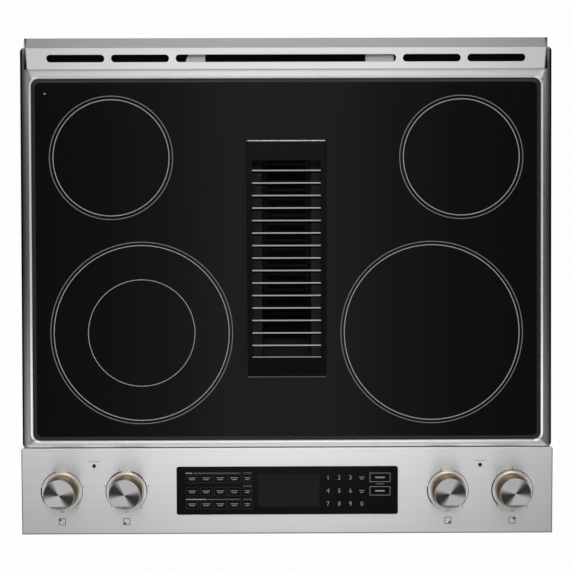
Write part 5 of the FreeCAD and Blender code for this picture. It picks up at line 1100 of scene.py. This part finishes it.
# Studio
# Pale seamless floor, soft boxes, and walls that are white low down and lit to the front and back.
# The ceiling and the side walls are dark, so that the black glass and the rim's sides stay dark from above.
FLOOR_HALF = 9.0
FLOOR_GLOW = 0.97
SKY_STRENGTH = 1.4
WALL_LIGHT = ((0.0, 0.12), (0.11, 0.2), (0.2, 0.78), (0.26, 0.6), (0.34, 0.35), (0.38, 0.02), (0.57, 0.02),
              (0.62, 2.1), (0.78, 2.1), (0.9, 0.3), (1.0, 0.2))
WALL_FALL = ((0.0, 1.0), (0.09, 1.0), (0.23, 0.14), (0.5, 0.05), (1.0, 0.03))
CEILING_LIGHT = ((0.0, 0.0), (0.36, 0.0), (0.42, 0.17), (0.58, 0.17), (0.64, 0.0), (1.0, 0.0))
CEILING_FALL = ((0.0, 1.0), (0.033, 1.0), (0.092, 0.44), (0.14, 0.23), (0.3, 0.1), (0.5, 0.0), (1.0, 0.0))
SIDE_LIGHT = ((0.0, 0.5), (0.3, 0.4), (0.42, 0.25), (0.5, 0.0), (0.58, 0.15), (0.7, 0.3), (1.0, 0.4))
SIDE_RISE = ((0.0, 0.0), (0.22, 0.0), (0.36, 1.0), (0.6, 0.5), (1.0, 0.1))
LOW_WALL = ((0.0, 1.0), (0.22, 1.0), (0.4, 0.0), (1.0, 0.0))
SOFT_BOXES = (
    ("front_box", (0.0, -3.3, 2.7), 0.6, 2.6, 20.0),
    ("back_box", (0.0, 3.3, 2.7), 0.6, 2.4, 20.0),
    ("left_box", (-2.1, -1.0, 4.2), 0.9, 1.3, 3.5),
    ("side_box", (-3.0, -1.2, 2.2), 0.6, 2.0, 10.0),
    ("side_box", (3.0, -1.2, 2.2), 0.6, 2.0, 10.0),
)


def studio_floor():
    """White paper that glows for the camera and mirrors, and takes the object's shadow."""
    mesh = bmesh.new()
    add_bar(mesh, -FLOOR_HALF, FLOOR_HALF, -FLOOR_HALF, FLOOR_HALF)
    data = mesh_from("studio_floor", mesh)
    material, tree = new_material("floor_paper")
    feed_shader(material, {"Base Color": 0.85, "Roughness": 0.9})
    paths = add_node(tree, "ShaderNodeLightPath").outputs
    seen = calculate(tree, "MAXIMUM", paths["Is Camera Ray"], paths["Is Glossy Ray"])
    seen = calculate(tree, "MAXIMUM", seen, paths["Is Transmission Ray"])
    glow = add_node(tree, "ShaderNodeEmission", {"Color": 1.0, "Strength": 1.0}).outputs["Emission"]
    share = calculate(tree, "MULTIPLY", seen, FLOOR_GLOW)
    values = {"Fac": share, 1: shader_of(material).outputs["BSDF"], 2: glow}
    paper = add_node(tree, "ShaderNodeMixShader", values).outputs["Shader"]
    feed(tree, tree.nodes["Material Output"].inputs["Surface"], paper)
    data.materials.append(material)
    floor = new_object("studio_floor", data)


def studio_sky():
    """World light by direction: from 0 at the front wall to 1 at the rear one, and by height and width."""
    world = bpy.data.worlds.new("studio_sky")
    world.use_nodes = True
    tree = world.node_tree
    parts = split(tree, add_node(tree, "ShaderNodeTexCoord").outputs["Generated"])
    width = calculate(tree, "ABSOLUTE", parts["X"])
    depth = remap(tree, parts["Y"], -1.0, 1.0)
    lights = []
    pairs = ((WALL_LIGHT, WALL_FALL), (CEILING_LIGHT, CEILING_FALL), (SIDE_LIGHT, SIDE_RISE))
    for by_depth, by_width in pairs:
        ramps = (add_ramp(tree, depth, by_depth), add_ramp(tree, width, by_width))
        lights.append(vector_step(tree, "MULTIPLY", *ramps))
    room = vector_step(tree, "ADD", vector_step(tree, "ADD", lights[0], lights[1]), lights[2])
    shown = mix_colours(tree, add_ramp(tree, parts["Z"], LOW_WALL), room, 1.0 / SKY_STRENGTH)
    sky = tree.nodes["Background"]
    feed(tree, sky.inputs["Color"], shown)
    sky.inputs["Strength"].default_value = SKY_STRENGTH
    bpy.context.scene.world = world


def soft_box(name, place, aim_height, width, power):
    """Square area light, turned towards the middle of the object at a height."""
    light = bpy.data.lights.new(name, "AREA")
    light.shape = "SQUARE"
    light.size = width
    light.energy = power
    lamp = new_object(name, light)
    lamp.location = place
    aim = Vector((0.0, 0.0, aim_height)) - Vector(place)
    lamp.rotation_euler = aim.to_track_quat("-Z", "Y").to_euler()


studio_floor()
studio_sky()
for box in SOFT_BOXES:
    soft_box(*box)
bpy.context.scene.view_settings.view_transform = "Standard"

# Camera
# Straight above the cooktop, as the photograph was taken, with the console at the foot of the frame.
camera_data = bpy.data.cameras.new("camera")
camera_data.lens = 83.83
camera_data.sensor_width = 36.0
camera_data.clip_end = 100.0
camera = new_object("camera", camera_data)
camera.location = (-0.00795, 0.05641, 2.81872)
camera.rotation_euler = [math.radians(angle) for angle in (-1.218, -0.216, -0.18)]
bpy.context.scene.camera = camera
